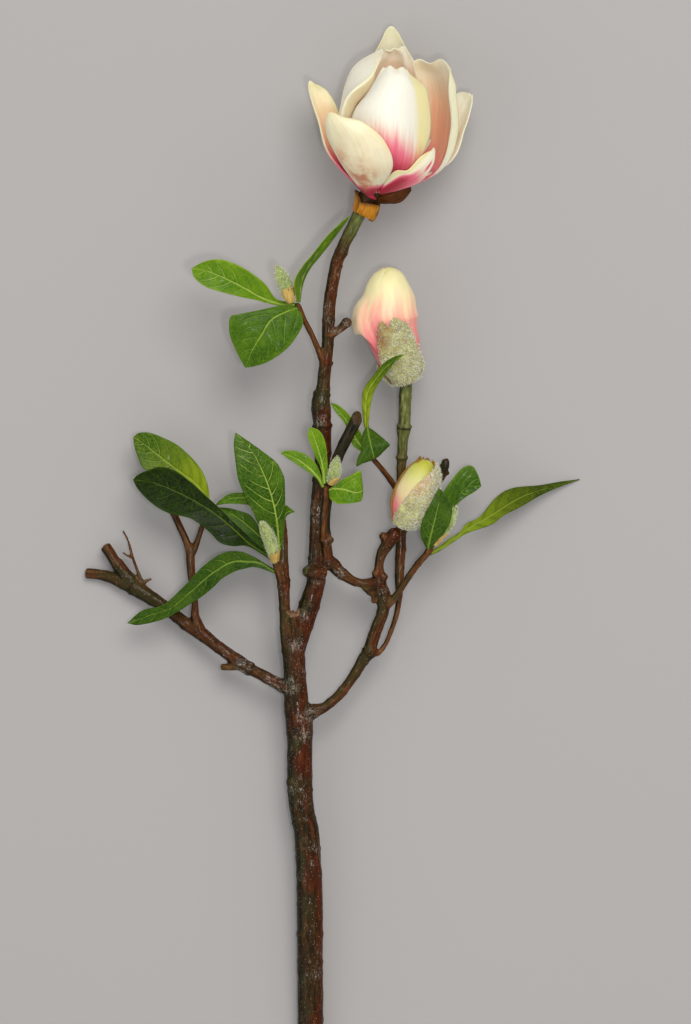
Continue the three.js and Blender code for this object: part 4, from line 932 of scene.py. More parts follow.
def body_grid(stations, shares, degrees, offset):
    """Places on a round body, at shares of its course and at angles round it.
    0 degrees is the right, 90 the front, 180 the left and 270 the back."""
    course = np.linspace(0, 1, 400)
    line = spline(stations, course)
    _, side, front = stem_frame(line[:, :3])
    shares = np.broadcast_to(shares, degrees.shape)

    def along(values):
        return np.stack([np.interp(shares, course, column) for column in values.T], axis=-1)

    angle = np.radians(degrees)[..., None]
    reach = along(line[:, 3:]) + np.asarray(offset)[..., None]
    outward = np.cos(angle) * unit(along(side)) + np.sin(angle) * unit(along(front))
    return along(line[:, :3]) + reach * outward


def round_skin(rings):
    """Closed skin over rings of places, with a fan over each end."""
    rows, sides = rings.shape[:2]
    number = np.arange(rows * sides).reshape(rows, sides)
    after = np.roll(number, -1, axis=1)
    faces = np.column_stack([
        number[:-1].ravel(), after[:-1].ravel(), after[1:].ravel(), number[1:].ravel(),
    ])[:, ::-1].tolist()
    points = np.vstack([rings.reshape(-1, 3), rings[0].mean(axis=0), rings[-1].mean(axis=0)])
    foot, tip = rows * sides, rows * sides + 1
    for side in range(sides):
        faces.append([foot, number[0, side], after[0, side]])
        faces.append([tip, after[-1, side], number[-1, side]])
    return points, faces


# Pieces


class Skin:
    """Points, faces and marks of a piece while it is put together."""

    def __init__(self):
        self.points = []
        self.faces = []
        self.marks = {}
        self.count = 0

    def add(self, points, faces, **marks):
        self.points.append(points)
        self.faces.extend([number + self.count for number in face] for face in faces)
        self.count += len(points)
        for name, values in marks.items():
            self.marks.setdefault(name, []).append(values)

    def piece(self, name):
        """Mesh object of all the points, with each mark as an attribute of its name."""
        mesh = bpy.data.meshes.new(name)
        mesh.from_pydata((np.vstack(self.points) * MM).tolist(), [], self.faces)
        for mark, parts in self.marks.items():
            add_mark(mesh, mark, np.concatenate(parts))
        return add_object(name, mesh)


def add_object(name, data):
    """Object of a mesh, a light or a camera, in the scene."""
    made = bpy.data.objects.new(name, data)
    bpy.context.scene.collection.objects.link(made)
    return made


def add_mark(mesh, name, values):
    """Attribute on the points: a number or a vector for each."""
    if values.ndim == 1:
        layer = mesh.attributes.new(name, "FLOAT", "POINT")
        layer.data.foreach_set("value", values.astype(np.float32))
    else:
        layer = mesh.attributes.new(name, "FLOAT_VECTOR", "POINT")
        layer.data.foreach_set("vector", values.astype(np.float32).ravel())


def settle(piece, node, finish=None):
    """Finished piece: its material, body and the CAD node that it stands for.
    Sprouts have their material already, and stand for no node."""
    if finish:
        piece.data.materials.append(finish)
    piece.data.shade_smooth()
    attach(piece, "root")
    if node:
        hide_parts(node)


def evaluated_mesh(piece, name):
    """Plain mesh of a piece with its modifiers applied. The piece itself is taken away."""
    graph = bpy.context.evaluated_depsgraph_get()
    mesh = bpy.data.meshes.new_from_object(piece.evaluated_get(graph))
    mesh.name = name
    bpy.data.objects.remove(piece)
    return mesh


def mesh_vectors(mesh, name):
    """Places or normals of the points of a mesh, by their name in Blender."""
    values = np.empty(3 * len(mesh.vertices), np.float32)
    mesh.vertices.foreach_get(name, values)
    return values.reshape(-1, 3)


# Materials


def linear(colour):
    """Linear colour with alpha from screen values. A socket stays as it is."""
    if isinstance(colour, bpy.types.NodeSocket):
        return colour
    values = np.array(colour) / 255
    shade = np.where(values <= 0.04045, values / 12.92, ((values + 0.055) / 1.055) ** 2.4)
    return (*shade.tolist(), 1)


def feed(tree, socket, value):
    """Gives a socket the value of another socket, or a plain value."""
    if isinstance(value, bpy.types.NodeSocket):
        tree.links.new(value, socket)
    else:
        socket.default_value = value


def add_node(tree, kind, inputs, **settings):
    """Node of a tree, with its settings and with inputs that are sockets or plain values."""
    node = tree.nodes.new(kind)
    for name, value in settings.items():
        setattr(node, name, value)
    for key, value in inputs.items():
        feed(tree, node.inputs[key], value)
    return node


class Finish:
    """A material while its nodes are put together. Inputs are sockets or plain values."""

    def __init__(self, name, roughness, sockets):
        self.material = bpy.data.materials.new(name)
        self.material.use_nodes = True
        self.tree = self.material.node_tree
        self.shader = self.tree.nodes["Principled BSDF"]
        for socket, value in {"Roughness": roughness, **sockets}.items():
            self.shader.inputs[socket].default_value = value

    def node(self, kind, inputs, **settings):
        return add_node(self.tree, kind, inputs, **settings)

    def places(self):
        return self.node("ShaderNodeTexCoord", {}).outputs["Object"]

    def mark(self, name, output="Fac"):
        return self.node("ShaderNodeAttribute", {}, attribute_name=name).outputs[output]

    def maths(self, operation, a, b=0.0, c=0.0):
        node = self.node("ShaderNodeMath", {0: a, 1: b, 2: c}, operation=operation)
        return node.outputs[0]

    def stretched(self, vector, scale):
        node = self.node("ShaderNodeMapping", {"Vector": vector, "Scale": scale})
        return node.outputs["Vector"]

    def noise(self, vector, scale, detail=3.0, roughness=0.55, distortion=0.0):
        """Noise. Its scale is a number, or a tuple with one for each direction."""
        if isinstance(scale, tuple):
            vector = self.stretched(vector, scale)
            scale = 1.0
        inputs = {
            "Vector": vector, "Scale": scale, "Detail": detail, "Roughness": roughness,
            "Distortion": distortion,
        }
        return self.node("ShaderNodeTexNoise", inputs).outputs["Fac"]

    def cells(self, vector, scale, feature):
        inputs = {"Vector": self.stretched(vector, scale), "Scale": 1.0}
        return self.node("ShaderNodeTexVoronoi", inputs, feature=feature).outputs["Distance"]

    def fade(self, value, low, high, start=0.0, end=1.0):
        """Smooth change from start to end while value goes from low to high."""
        inputs = {"Value": value, 1: low, 2: high, 3: start, 4: end}
        node = self.node("ShaderNodeMapRange", inputs, interpolation_type="SMOOTHSTEP")
        return node.outputs["Result"]

    def blend(self, factor, a, b):
        inputs = {0: factor, 6: linear(a), 7: linear(b)}
        return self.node("ShaderNodeMix", inputs, data_type="RGBA").outputs[2]

    def cover(self, shade, colour, amount, strength):
        """shade under a colour that covers it by amount times strength."""
        return self.blend(self.maths("MULTIPLY", amount, strength), shade, colour)

    def ramp(self, value, stops):
        """Colour of value on a ramp of (place, colour) stops."""
        node = self.node("ShaderNodeValToRGB", {"Fac": value})
        steps = node.color_ramp.elements
        while len(steps) < len(stops):
            steps.new(0.5)
        for step, (place, colour) in zip(steps, stops):
            step.position = place
            step.color = linear(colour)
        return node.outputs["Color"]

    def bump(self, height, strength, distance):
        """Bump in the surface, on top of the bump that is there already."""
        inputs = {"Height": height, "Strength": strength, "Distance": distance * MM}
        node = self.node("ShaderNodeBump", inputs)
        below = self.shader.inputs["Normal"]
        if below.is_linked:
            feed(self.tree, node.inputs["Normal"], below.links[0].from_socket)
        feed(self.tree, below, node.outputs["Normal"])

    def colour(self, value):
        feed(self.tree, self.shader.inputs["Base Color"], linear(value))

    def roughness(self, value):
        feed(self.tree, self.shader.inputs["Roughness"], value)


def leaf_finish(name):
    """Waxy leaf: shade drifting between dark and light, pale veins, a duller back."""
    dark, light, vein, back, edge, glow, veined = LEAF_SHADES[name]
    finish = Finish(name.replace("_", " ") + " green", 0.38, {
        "Specular IOR Level": 0.06, "Coat Weight": 0.05, "Coat Roughness": 0.13,
    })
    places = finish.places()
    margin = finish.mark("margin")
    tipward = finish.mark("tipward")
    midrib = finish.maths("ABSOLUTE", finish.mark("from_midrib"))
    rib_width = finish.fade(tipward, 0.0, 1.0, 0.95, 0.25)
    rib = finish.fade(finish.maths("DIVIDE", midrib, rib_width), 0.25, 1.0, 1.0, 0.0)
    beside = finish.maths("PINGPONG", finish.mark("vein_number"), 0.5)
    side_vein = finish.fade(beside, 0.012, 0.05, 1.0, 0.0)
    inward = finish.fade(margin, 0.72, 0.97, 1.0, 0.0)
    side_vein = finish.maths("MULTIPLY", side_vein, inward)
    net = finish.cells(finish.mark("spread", "Vector"), (0.45, 0.45, 1), "DISTANCE_TO_EDGE")
    net = finish.fade(net, 0.0, 0.07, 1.0, 0.0)

    drift = finish.noise(places, 55, 3, 0.6, 0.4)
    if glow:
        drift = finish.maths("MULTIPLY_ADD", drift, 0.3, 0.35 + 0.5 * glow)
        drift = finish.maths("MULTIPLY_ADD", tipward, -glow, drift)
    shade = finish.ramp(drift, [(0.32, dark), (0.68, light)])
    fine = finish.noise(places, 900, 2)
    shade = finish.blend(finish.fade(fine, 0.3, 0.8, 0.0, 0.22), shade, light)
    shade = finish.blend(finish.fade(beside, 0.04, 0.3, 0.35, 0.0), shade, dark)
    shade = finish.blend(finish.fade(margin, 0.86, 1.0, 0.0, 0.5), shade, edge)
    shade = finish.cover(shade, vein, net, 0.16)
    paler = finish.fade(finish.noise(places, 70, 2), 0.38, 0.62, 0.2 * veined, veined)
    shade = finish.cover(shade, vein, side_vein, paler)
    shade = finish.cover(shade, vein, rib, 0.6)
    under = finish.cover(back, vein, rib, 0.8)
    finish.colour(finish.blend(finish.mark("face"), under, shade))
    finish.roughness(finish.fade(fine, 0.2, 0.8, 0.32, 0.5))
    finish.bump(finish.maths("MAXIMUM", finish.maths("MULTIPLY", side_vein, 0.8), rib), 0.35, -0.25)
    finish.bump(net, 0.25, -0.08)
    finish.bump(fine, 0.12, 0.05)
    return finish.material


# Wood


def stem_skin(stations, rng, ends, reach):
    """Round stem with a low ring at each old leaf scar. ends rounds its two ends by that
    share of its radius. reach pushes the places of its last ring along it."""
    stations = np.asarray(stations, float)
    line = even_spline(stations, np.linspace(0, 1, 200))
    reached = travelled(line[:, :3])
    length = reached[-1]
    rows = max(int(length / STEM_STEP), 6)
    place = np.linspace(0, length, rows + 1)
    stem = np.column_stack([np.interp(place, reached, line[:, k]) for k in range(4)])
    scar = rng.uniform(3, 8)
    while scar < length - 2:
        height = rng.uniform(0.04, 0.13) * min(np.interp(scar, place, stem[:, 3]), 4)
        stem[:, 3] += height * ridge(place - scar, rng.uniform(0.7, 1.2))
        scar += rng.uniform(5, 9) + 1.2 * stem[:, 3].mean()
    for end, inward in ((0, place), (-1, length - place)):
        rounding = ends[end] * stem[end, 3]
        if rounding > 0:
            stem[:, 3] *= np.sqrt(1 - (1 - np.clip(inward / rounding, 0, 1)) ** 2 * 0.9)
    sides = 28 if stem[:, 3].max() > 4 else 20
    along, side, front = stem_frame(stem[:, :3])
    angle = np.linspace(0, 2 * np.pi, sides, endpoint=False)
    ring = side[:, None] * np.cos(angle)[:, None] + front[:, None] * np.sin(angle)[:, None]
    rings = stem[:, None, :3] + stem[:, 3, None, None] * ring
    if reach:
        rings[-1] += along[-1] * reach(angle)[:, None]
    return round_skin(rings)


def ball_skin(x, y, z, radius):
    angle = np.linspace(0.1, np.pi - 0.1, 10)
    around = np.linspace(0, 2 * np.pi, 16, endpoint=False)
    ring = np.stack([np.cos(around), np.zeros(16), np.sin(around)], axis=1)
    rings = np.sin(angle)[:, None, None] * ring[None]
    rings[..., 1] = -np.cos(angle)[:, None]
    return round_skin(np.array([x, y, z]) + radius * rings)


def torn_end(angle):
    return 0.8 + 1.3 * np.sin(3 * angle + 0.6) + 0.8 * np.sin(7 * angle)


def slanting_end(angle):
    return -STUB_SLANT * np.cos(angle - np.radians(60))


def all_stems():
    """Every stem of the wood, as (name, stations, rounding of its ends, shape of its end)."""
    stems = [
        ("trunk", TRUNK, (0.05, 0.3), None),
        ("main_stem", MAIN_STEM, (0.3, 0.3), None),
        ("torn_stub", TORN_STUB, (0.3, 0.0), torn_end),
        ("dark_stub", DARK_STUB, (0.3, 0.0), slanting_end),
    ]
    for name, stations in TWIGS.items():
        stems.append((name, stations, (0.3, 0.1 if name in SAWN_TWIGS else 0.9), None))
    return stems


def axis_marks(stems):
    """Places along the middle of every stem, with the directions and marks that go with them."""
    marks = {}
    start = 0.0
    for name, stations, _, _ in stems:
        stations = np.asarray(stations, float)
        length = np.linalg.norm(np.diff(stations[:, :3], axis=0), axis=1).sum()
        line = even_spline(stations, np.linspace(0, 1, int(length) + 2))
        along, side, front = stem_frame(line[:, :3])
        none = np.zeros(len(line))
        rings = NODE_RINGS.get(name, ())
        found = {
            "place": line[:, :3], "radius": line[:, 3], "along": along, "side": side,
            "front": front, "course": start + np.linspace(0, length, len(line)),
            "youth": 1 - smooth_step(1.7, 4.4, line[:, 3]), "olive": none,
            "dark": none + (name == "dark_stub"),
            "ring": none + sum(ridge(line[:, 1] - y, 0.5) for y in rings),
            "collar": none + sum(ridge(line[:, 1] - y - 1.1, 1.0) for y in rings),
        }
        if name in OLIVE_STEMS:
            found["olive"] = smooth_step(*OLIVE_STEMS[name], line[:, 1])
        for mark, values in found.items():
            marks.setdefault(mark, []).append(values)
        start += length + GRAIN_GAP
    return {mark: np.concatenate(values) for mark, values in marks.items()}


def cut_faces():
    """Middle, direction and radius of each sawn or broken end. The dark stub's cut slants."""
    ends = [(TRUNK, 0), (DARK_STUB, -1), (TORN_STUB, -1)]
    ends += [(TWIGS[name], -1) for name in SAWN_TWIGS]
    found = []
    for stations, end in ends:
        line = spline(stations, np.array([0, 0.02, 0.98, 1]))
        outward = unit(line[-1, :3] - line[-2, :3]) if end else unit(line[0, :3] - line[1, :3])
        radius = line[end, 3]
        if stations is DARK_STUB:
            side = unit(np.cross(outward, [0, 0, 1]))
            front = np.cross(side, outward)
            outward = unit(outward + STUB_SLANT / radius * (0.5 * side + 0.87 * front))
            radius *= 2
        found.append((line[end, :3], outward, radius))
    return found


def bark_finish():
    """Smooth thin bark: olive brown with red-brown stretches, grained along the stem, with a worn
    grey film and pale lenticels. Painted shade darkens its flanks, the sides turned away from
    above and the right. Some stems are still green."""
    finish = Finish("bark", 0.4, {
        "Specular IOR Level": 0.05, "Coat Weight": 0.16, "Coat Roughness": 0.14,
    })
    places = finish.places()
    grain = finish.mark("grain", "Vector")
    rightward = finish.mark("rightward")
    weather = finish.mark("weather")
    streak = finish.noise(grain, (0.7, 0.7, 0.14), 5, 0.65)
    fine = finish.noise(grain, (2.2, 2.2, 0.99), 4, 0.7)

    old = finish.ramp(streak, [
        (0.28, (18, 13, 3)), (0.46, (40, 26, 8)), (0.6, (60, 39, 14)),
        (0.76, (98, 70, 36)),
    ])
    red = finish.ramp(streak, [
        (0.3, (36, 14, 3)), (0.5, (68, 26, 5)), (0.74, (100, 46, 12)),
    ])
    stretch = finish.noise(grain, (0.1, 0.1, 0.035), 3, 0.6)
    stretch = finish.maths("MULTIPLY_ADD", rightward, 0.13, stretch)
    shade = finish.blend(finish.fade(stretch, 0.47, 0.62, 0.0, 0.85), old, red)
    young = finish.ramp(streak, [
        (0.3, (56, 32, 13)), (0.52, (100, 58, 25)), (0.76, (140, 100, 60)),
    ])
    shade = finish.cover(shade, young, finish.mark("youth"), 0.7)
    moss = finish.maths("MULTIPLY_ADD", rightward, -0.12, finish.noise(places, 40, 4))
    shade = finish.blend(finish.fade(moss, 0.48, 0.62, 0.0, 0.55), shade, (48, 50, 20))
    shade = finish.cover(shade, red, finish.mark("red"), 0.8)
    # painted shade: near black on the flanks, the sides turned away from above and the right
    flank = finish.maths("ADD", finish.mark("flank"), finish.fade(streak, 0.3, 0.7, 0.25, -0.25))
    shade = finish.blend(finish.fade(flank, 0.28, 0.95, 0.0, 0.82), shade, (18, 16, 5))

    patch = finish.noise(places, 60, 4, 0.65)
    wisps = finish.noise(grain, (0.8, 0.8, 0.3), 6, 0.75, 1.2)
    film = finish.maths("MULTIPLY", finish.fade(patch, 0.55, 0.7), finish.fade(wisps, 0.5, 0.66))
    film = finish.maths("MULTIPLY", film, weather)
    rubbed = finish.maths("MULTIPLY", finish.mark("film"), finish.fade(wisps, 0.49, 0.66))
    film = finish.maths("MAXIMUM", film, rubbed)
    shade = finish.cover(shade, (178, 170, 156), film, 0.75)

    olive = finish.ramp(streak, [
        (0.3, (58, 62, 24)), (0.55, (100, 106, 54)), (0.75, (148, 150, 102)),
    ])
    # painted shade on the flanks of the olive stems too
    olive = finish.blend(finish.fade(flank, 0.5, 1.05, 0.0, 0.8), olive, (26, 34, 8))
    shade = finish.blend(finish.mark("olive"), shade, olive)
    # dark covers the dark stub and the dark places; at the stem's top inside the cup it is painted
    # shade
    dark = finish.ramp(streak, [(0.35, (12, 13, 5)), (0.7, (58, 50, 32))])
    shade = finish.blend(finish.mark("dark"), shade, dark)
    dots = finish.fade(finish.cells(grain, (0.62, 0.62, 0.9), "F1"), 0.06, 0.16, 0.7, 0.0)
    dots = finish.maths("MULTIPLY", dots, weather)
    shade = finish.blend(dots, shade, (206, 190, 160))
    shade = finish.cover(shade, (30, 24, 10), finish.mark("ring"), 0.8)
    cut = finish.ramp(finish.noise(places, 700, 3), [
        (0.3, (70, 44, 26)), (0.7, (146, 112, 80)),
    ])
    finish.colour(finish.blend(finish.mark("cut"), shade, cut))
    finish.roughness(finish.fade(fine, 0.3, 0.7, 0.26, 0.55))
    finish.bump(streak, 0.35, 0.4)
    finish.bump(fine, 0.35, 0.2)
    finish.bump(dots, 0.4, 0.15)
    return finish.material


def make_wood():
    """All stems are grown together by a remesh, then given grain, knobs and marks."""
    rng = np.random.default_rng(5)
    stems = all_stems()
    skin = Skin()
    for _, stations, ends, reach in stems:
        skin.add(*stem_skin(stations, rng, ends, reach))
    for swelling in SWELLINGS + KNOBS:
        skin.add(*ball_skin(*swelling))
    rough = skin.piece("rough_wood")
    rough.modifiers.new("remesh", "REMESH").voxel_size = BARK_VOXEL * MM
    rough.modifiers.new("soften", "SMOOTH").iterations = 3
    mesh = evaluated_mesh(rough, "bark_covered_wood")

    places = mesh_vectors(mesh, "co").astype(float) / MM
    normals = mesh_vectors(mesh, "normal")
    marks = axis_marks(stems)
    tree = kdtree.KDTree(len(marks["place"]))
    for number, place in enumerate(marks["place"]):
        tree.insert(place, number)
    tree.balance()
    nearest = np.array([
        min(tree.find_n(place, 5), key=lambda hit: hit[2] - marks["radius"][hit[1]])[1]
        for place in places
    ])
    line = {mark: values[nearest] for mark, values in marks.items()}
    outward = places - line["place"]
    grain = np.column_stack([
        (outward * line["side"]).sum(axis=1), (outward * line["front"]).sum(axis=1),
        line["course"] + (outward * line["along"]).sum(axis=1),
    ])
    cut = np.zeros(len(places))
    for middle, direction, radius in cut_faces():
        apart = places - middle
        level = apart @ direction
        wide = np.linalg.norm(apart - level[:, None] * direction, axis=1)
        close = (wide < 1.1 * radius) & (level < 2.6)
        cut = np.maximum(cut, close * smooth_step(-0.9, -0.4, level))
    cut *= 1 - 0.75 * line["dark"]
    # the flank mark is for painted shade, on the sides turned away from above and the right
    facing = normals @ unit(np.array([0.5, 0.15, 1.0]))
    weather = np.clip(0.25 + 0.75 * smooth_step(2, 4, line["radius"]), 0, 1)
    made = {
        "grain": grain, "youth": line["youth"], "cut": cut, "ring": line["ring"] * (1 - cut),
        "flank": smooth_step(0.85, 0.05, facing), "weather": weather * (1 - line["dark"]),
        "rightward": normals[:, 0], "film": 0 * cut, "red": 0 * cut, "dark": line["dark"],
        "olive": line["olive"],
    }
    for mark, x, y, z, reach in STAINED_PLACES:
        apart = np.linalg.norm(places - [x, y, z], axis=1)
        made[mark] = np.maximum(made[mark], smooth_step(reach, 0.35 * reach, apart))
    for mark, values in made.items():
        add_mark(mesh, mark, values)

    ribs = soft_noise(grain * [1, 1, 0.12], 1.3) * (1 - cut)
    knobs = soft_noise(places, 4.5, 2)
    relief = 0.05 * soft_noise(places, 1.5) + (1 - 0.7 * line["youth"]) * (0.08 * ribs + 0.24 * knobs)
    relief *= np.clip(line["radius"] / 3.5, 0.25, 1)
    relief += (0.75 * line["collar"] - 0.1 * line["ring"]) * (1 - cut)
    places += normals * relief[:, None]
    places[:, 2] = np.maximum(places[:, 2], 0)
    mesh.vertices.foreach_set("co", (places * MM).ravel().astype(np.float32))
    settle(add_object("bark_covered_wood", mesh), "branch_wood", bark_finish())


# Leaves


def leaf_rails(leaf, shares):
    """The middle line and the two margins of a leaf, at shares of their lengths."""
    middle = even_spline(leaf["mid"], shares)
    start, second = (np.array(leaf["mid"][k][:2]) for k in (0, 1))
    end = np.array(leaf["mid"][-1][:2])
    foot = (second - start) / np.linalg.norm(second - start) * LEAF_FOOT
    margins = []
    for side, key, lift in ((-1, "left", leaf["lift"][0]), (1, "right", leaf["lift"][1])):
        first = start + side * np.array([foot[1], -foot[0]])
        last = end + 0.02 * (np.array(leaf[key][-1]) - end)
        line = np.column_stack([[first, *leaf[key], last], np.zeros(len(leaf[key]) + 2)])
        margin = even_spline(line, shares)
        reach = np.linalg.norm((margin - middle)[:, :2], axis=1)
        margin[:, 2] = middle[:, 2] + lift * reach
        margins.append(margin)
    return middle, *margins


def leaf_piece(node, leaf, finish):
    """Leaf with a grooved midrib, side veins that curve to the tip, and a stalk."""
    probe = leaf_rails(leaf, np.linspace(0, 1, 40))
    length = np.linalg.norm(np.diff(probe[0], axis=0), axis=1).sum()
    half_width = max(np.linalg.norm(probe[k] - probe[0], axis=1).max() for k in (1, 2))
    rows = int(np.clip(length / LEAF_STEP[0], 36, 140))
    columns = 2 * int(np.clip(half_width / LEAF_STEP[1], 8, 24))
    u, v = np.meshgrid(np.linspace(0, 1, rows + 1), np.linspace(-1, 1, columns + 1), indexing="ij")
    middle, left, right = (rail[:, None] for rail in leaf_rails(leaf, u[:, 0]))
    grid = across_rails(left, middle, right, v)
    amount, waves = leaf.get("wave", (0.35, 2.3))
    grid[..., 2] += amount * v * v * np.sin(2 * np.pi * waves * u + v) * u

    across = from_middle(grid, columns // 2)
    slant = np.abs(across) / length * (0.75 + 0.55 * v * v)
    wobble = 0.07 * soft_noise(grid, 9, len(node))
    veins = np.clip(round(length / VEIN_GAP), 4, 11)
    number = veins * (u - slant) + np.where(v > 0, 0.5, 0.0) + wobble
    beside = np.abs(number - np.round(number))
    inward = (1 - v ** 4) * smooth_step(0.03, 0.12, u) * smooth_step(1, 0.9, u)
    rib = ridge(across, 0.75 * (1 - 0.55 * u)) * (1 - smooth_step(0.9, 1, u))
    groove = 0.14 * ridge(beside, 0.1) * inward

    quilt = leaf.get("quilt", 0.12) * (1 - ridge(beside, 0.22)) * inward
    slack = 0.45 * soft_noise(grid, 13, 3) * np.abs(v) * smooth_step(0, 0.2, u)
    grid = raised(grid, quilt - groove - 0.3 * rib + slack)
    half = LEAF_THICKNESS / 2 * (1 - 0.6 * v ** 8)
    stalk = (1 - smooth_step(0.02, 0.14, u)) * ridge(v, 0.8)
    below = half + 0.75 * rib * (1 - 0.6 * u) + groove + 0.35 * stalk

    skin = Skin()
    points, faces = blade_shell(grid, half + 0.45 * stalk, below)
    skin.add(
        points, faces, vein_number=both_faces(number), from_midrib=both_faces(across),
        tipward=both_faces(u), margin=both_faces(np.abs(v)),
        spread=both_faces(flat_places(across, u * length)), face=np.repeat([1.0, 0.0], u.size),
    )
    settle(skin.piece(node + "_blade"), node, finish)


def make_leaves():
    finishes = {shade: leaf_finish(shade) for shade in LEAF_SHADES}
    for node, leaf in LEAVES.items():
        leaf_piece(node, leaf, finishes[leaf.get("shade", leaf["slot"])])


# Bloom


def tepal_finish(name):
    """Waxy tepal, from cream through pink to a crimson foot, with fine lengthwise veins."""
    cream, lime, salmon, pink, crimson, glow = TEPAL_SHADES[name]
    finish = Finish(name, 0.42, {
        "Subsurface Weight": glow, "Subsurface Radius": (1.0, 0.7, 0.5),
        "Subsurface Scale": 0.004, "Sheen Weight": 0.12, "Sheen Roughness": 0.4,
        "Coat Weight": 0.05, "Coat Roughness": 0.4, "Specular IOR Level": 0.35,
    })
    places = finish.places()
    spread = finish.mark("spread", "Vector")
    streak = finish.noise(spread, (0.55, 0.035, 1.0), 4, 0.6)
    veins = finish.noise(spread, (1.6, 0.06, 1.0), 3, 0.6)
    shade = finish.blend(finish.mark("lime"), cream, lime)
    shade = finish.cover(shade, lime, finish.fade(veins, 0.45, 0.75), 0.12)
    warm = finish.maths("ADD", finish.mark("salmon"), finish.fade(streak, 0.3, 0.7, -0.1, 0.1))
    shade = finish.blend(finish.fade(warm, 0.02, 1.0), shade, salmon)
    blush = finish.maths("ADD", finish.mark("blush"), finish.fade(streak, 0.3, 0.7, -0.055, 0.055))
    shade = finish.blend(finish.fade(blush, 0.1, 0.62), shade, pink)
    shade = finish.blend(finish.fade(blush, 0.55, 1.0), shade, crimson)
    cloud = finish.fade(finish.noise(places, 75, 3, 0.6), 0.38, 0.62, 0.15, 0.9)
    finish.colour(finish.cover(shade, (196, 122, 88), finish.mark("rust"), cloud))
    fine = finish.noise(places, 1500, 2)
    finish.roughness(finish.fade(fine, 0.3, 0.7, 0.36, 0.52))
    finish.bump(veins, 0.35, 0.35)
    finish.bump(fine, 0.15, 0.05)
    return finish.material


def tepal_grid(tepal, look):
    """Grid of a tepal, with its shares u, its places across v and its shares of the fold.
    Its corners are rounded and its margins curled. A fold carries the right margin on, past
    a sharp bend, by up to the look's fold."""
    folded = FOLD_COLUMNS if "fold" in look else 0
    v = np.concatenate([np.linspace(-1, 1, TEPAL_COLUMNS + 1), np.ones(folded)])
    past = np.concatenate([np.zeros(TEPAL_COLUMNS + 1), np.arange(1, folded + 1) / FOLD_COLUMNS])
    u, v = np.meshgrid(np.linspace(0, 1, TEPAL_ROWS + 1), v, indexing="ij")
    past = np.repeat(past[None], TEPAL_ROWS + 1, axis=0)
    course = (u * (1 - look.get("point", 0.05) * v ** 4 * u)).ravel()
    rails = (spline(tepal[rail], course).reshape(*u.shape, 3) for rail in ("left", "mid", "right"))
    grid = across_rails(*rails, v)
    normals = grid_normals(grid[:, :TEPAL_COLUMNS + 1])
    normals = np.concatenate([normals, np.repeat(normals[:, -1:], folded, axis=1)], axis=1)
    swell = np.sin(np.pi * np.clip(u * 1.05, 0, 1)) ** 0.6
    furrows = soft_noise(np.stack([3.2 * v, 0.6 * u, 0 * u], axis=2), 0.45, look["seed"])
    offset = (0.8 * soft_noise(grid, 24, look["seed"]) + 0.22 * furrows) * swell
    for side, curl, dip in ((-1, *look["left"]), (1, *look["right"])):
        t = np.clip((side * v - 0.5) / 0.5, 0, 1)
        offset += swell * (curl * t * t + dip * 4 * t * (1 - t))
    at, height = look.get("crease", (0, 0))
    offset += height * ridge(v - at, 0.16) * swell * smooth_step(0.25, 0.6, u)
    grid = grid + normals * offset[..., None]
    first, wide, narrow, last = look.get("fold_span", (0.12, 0.5, 0.8, 1.0))
    opened = smooth_step(first, wide, u) * smooth_step(last, narrow, u)
    turned = np.array(look.get("fold", (0, 0, 0))) * past[..., None]
    sag = np.array([0, 0, 1]) * (1.6 * past * (1 - past))[..., None]
    grid = grid + (turned + sag) * opened[..., None]
    amount, count = look.get("wave", (0.5, 1.5))
    grid[..., 1] += amount * np.sin(np.pi * count * v + look["seed"]) * u ** 6
    return grid, u, v, past


def tepal_marks(look, u, v, past, spread):
    """How pink, salmon, lime and rusty each place of a tepal is."""
    uneven = 0.035 * soft_noise(spread * [0.3, 0.02, 1], 1.0, look["seed"])
    blush = smooth_step(look["pink_to"], look["pink_to"] * 0.12, u + uneven) * (1 - 0.3 * v * v)
    blot = sum(
        strength * np.exp(-(((u - at_u) / size) ** 2 + ((v - at_v) / (1.5 * size)) ** 2))
        for at_u, at_v, size, strength in look.get("blots", ())
    ) + 0 * u
    if look.get("lip"):
        blush *= smooth_step(-0.7, -0.1, v)
    salmon = look["salmon"] * smooth_step(1.05, 0.2, u) * (1 - 0.35 * v * v)
    margin = smooth_step(0.8, 1, np.abs(v)) * smooth_step(0.2, 0.5, u)
    lime = look["lime"] + 0.35 * margin + 0.25 * smooth_step(0.8, 1, u)
    lime += 0.6 * smooth_step(-0.3, -0.8, v) if look.get("lip") else 0
    yellow, warm = look.get("fold_tint", (0, 0))
    lime = np.clip(lime + yellow * smooth_step(0, 0.15, past), 0, 1)
    salmon = np.clip(salmon * (1 - margin) + warm * smooth_step(0, 0.15, past), 0, 1)
    rust = blot if look.get("rusty") else np.zeros_like(u)
    blush = blush if look.get("rusty") else np.maximum(blush, blot)
    blush = np.maximum(blush, smooth_step(0.14, 0.05, u))
    return {"blush": blush, "salmon": salmon, "lime": lime, "rust": np.clip(rust, 0, 1)}


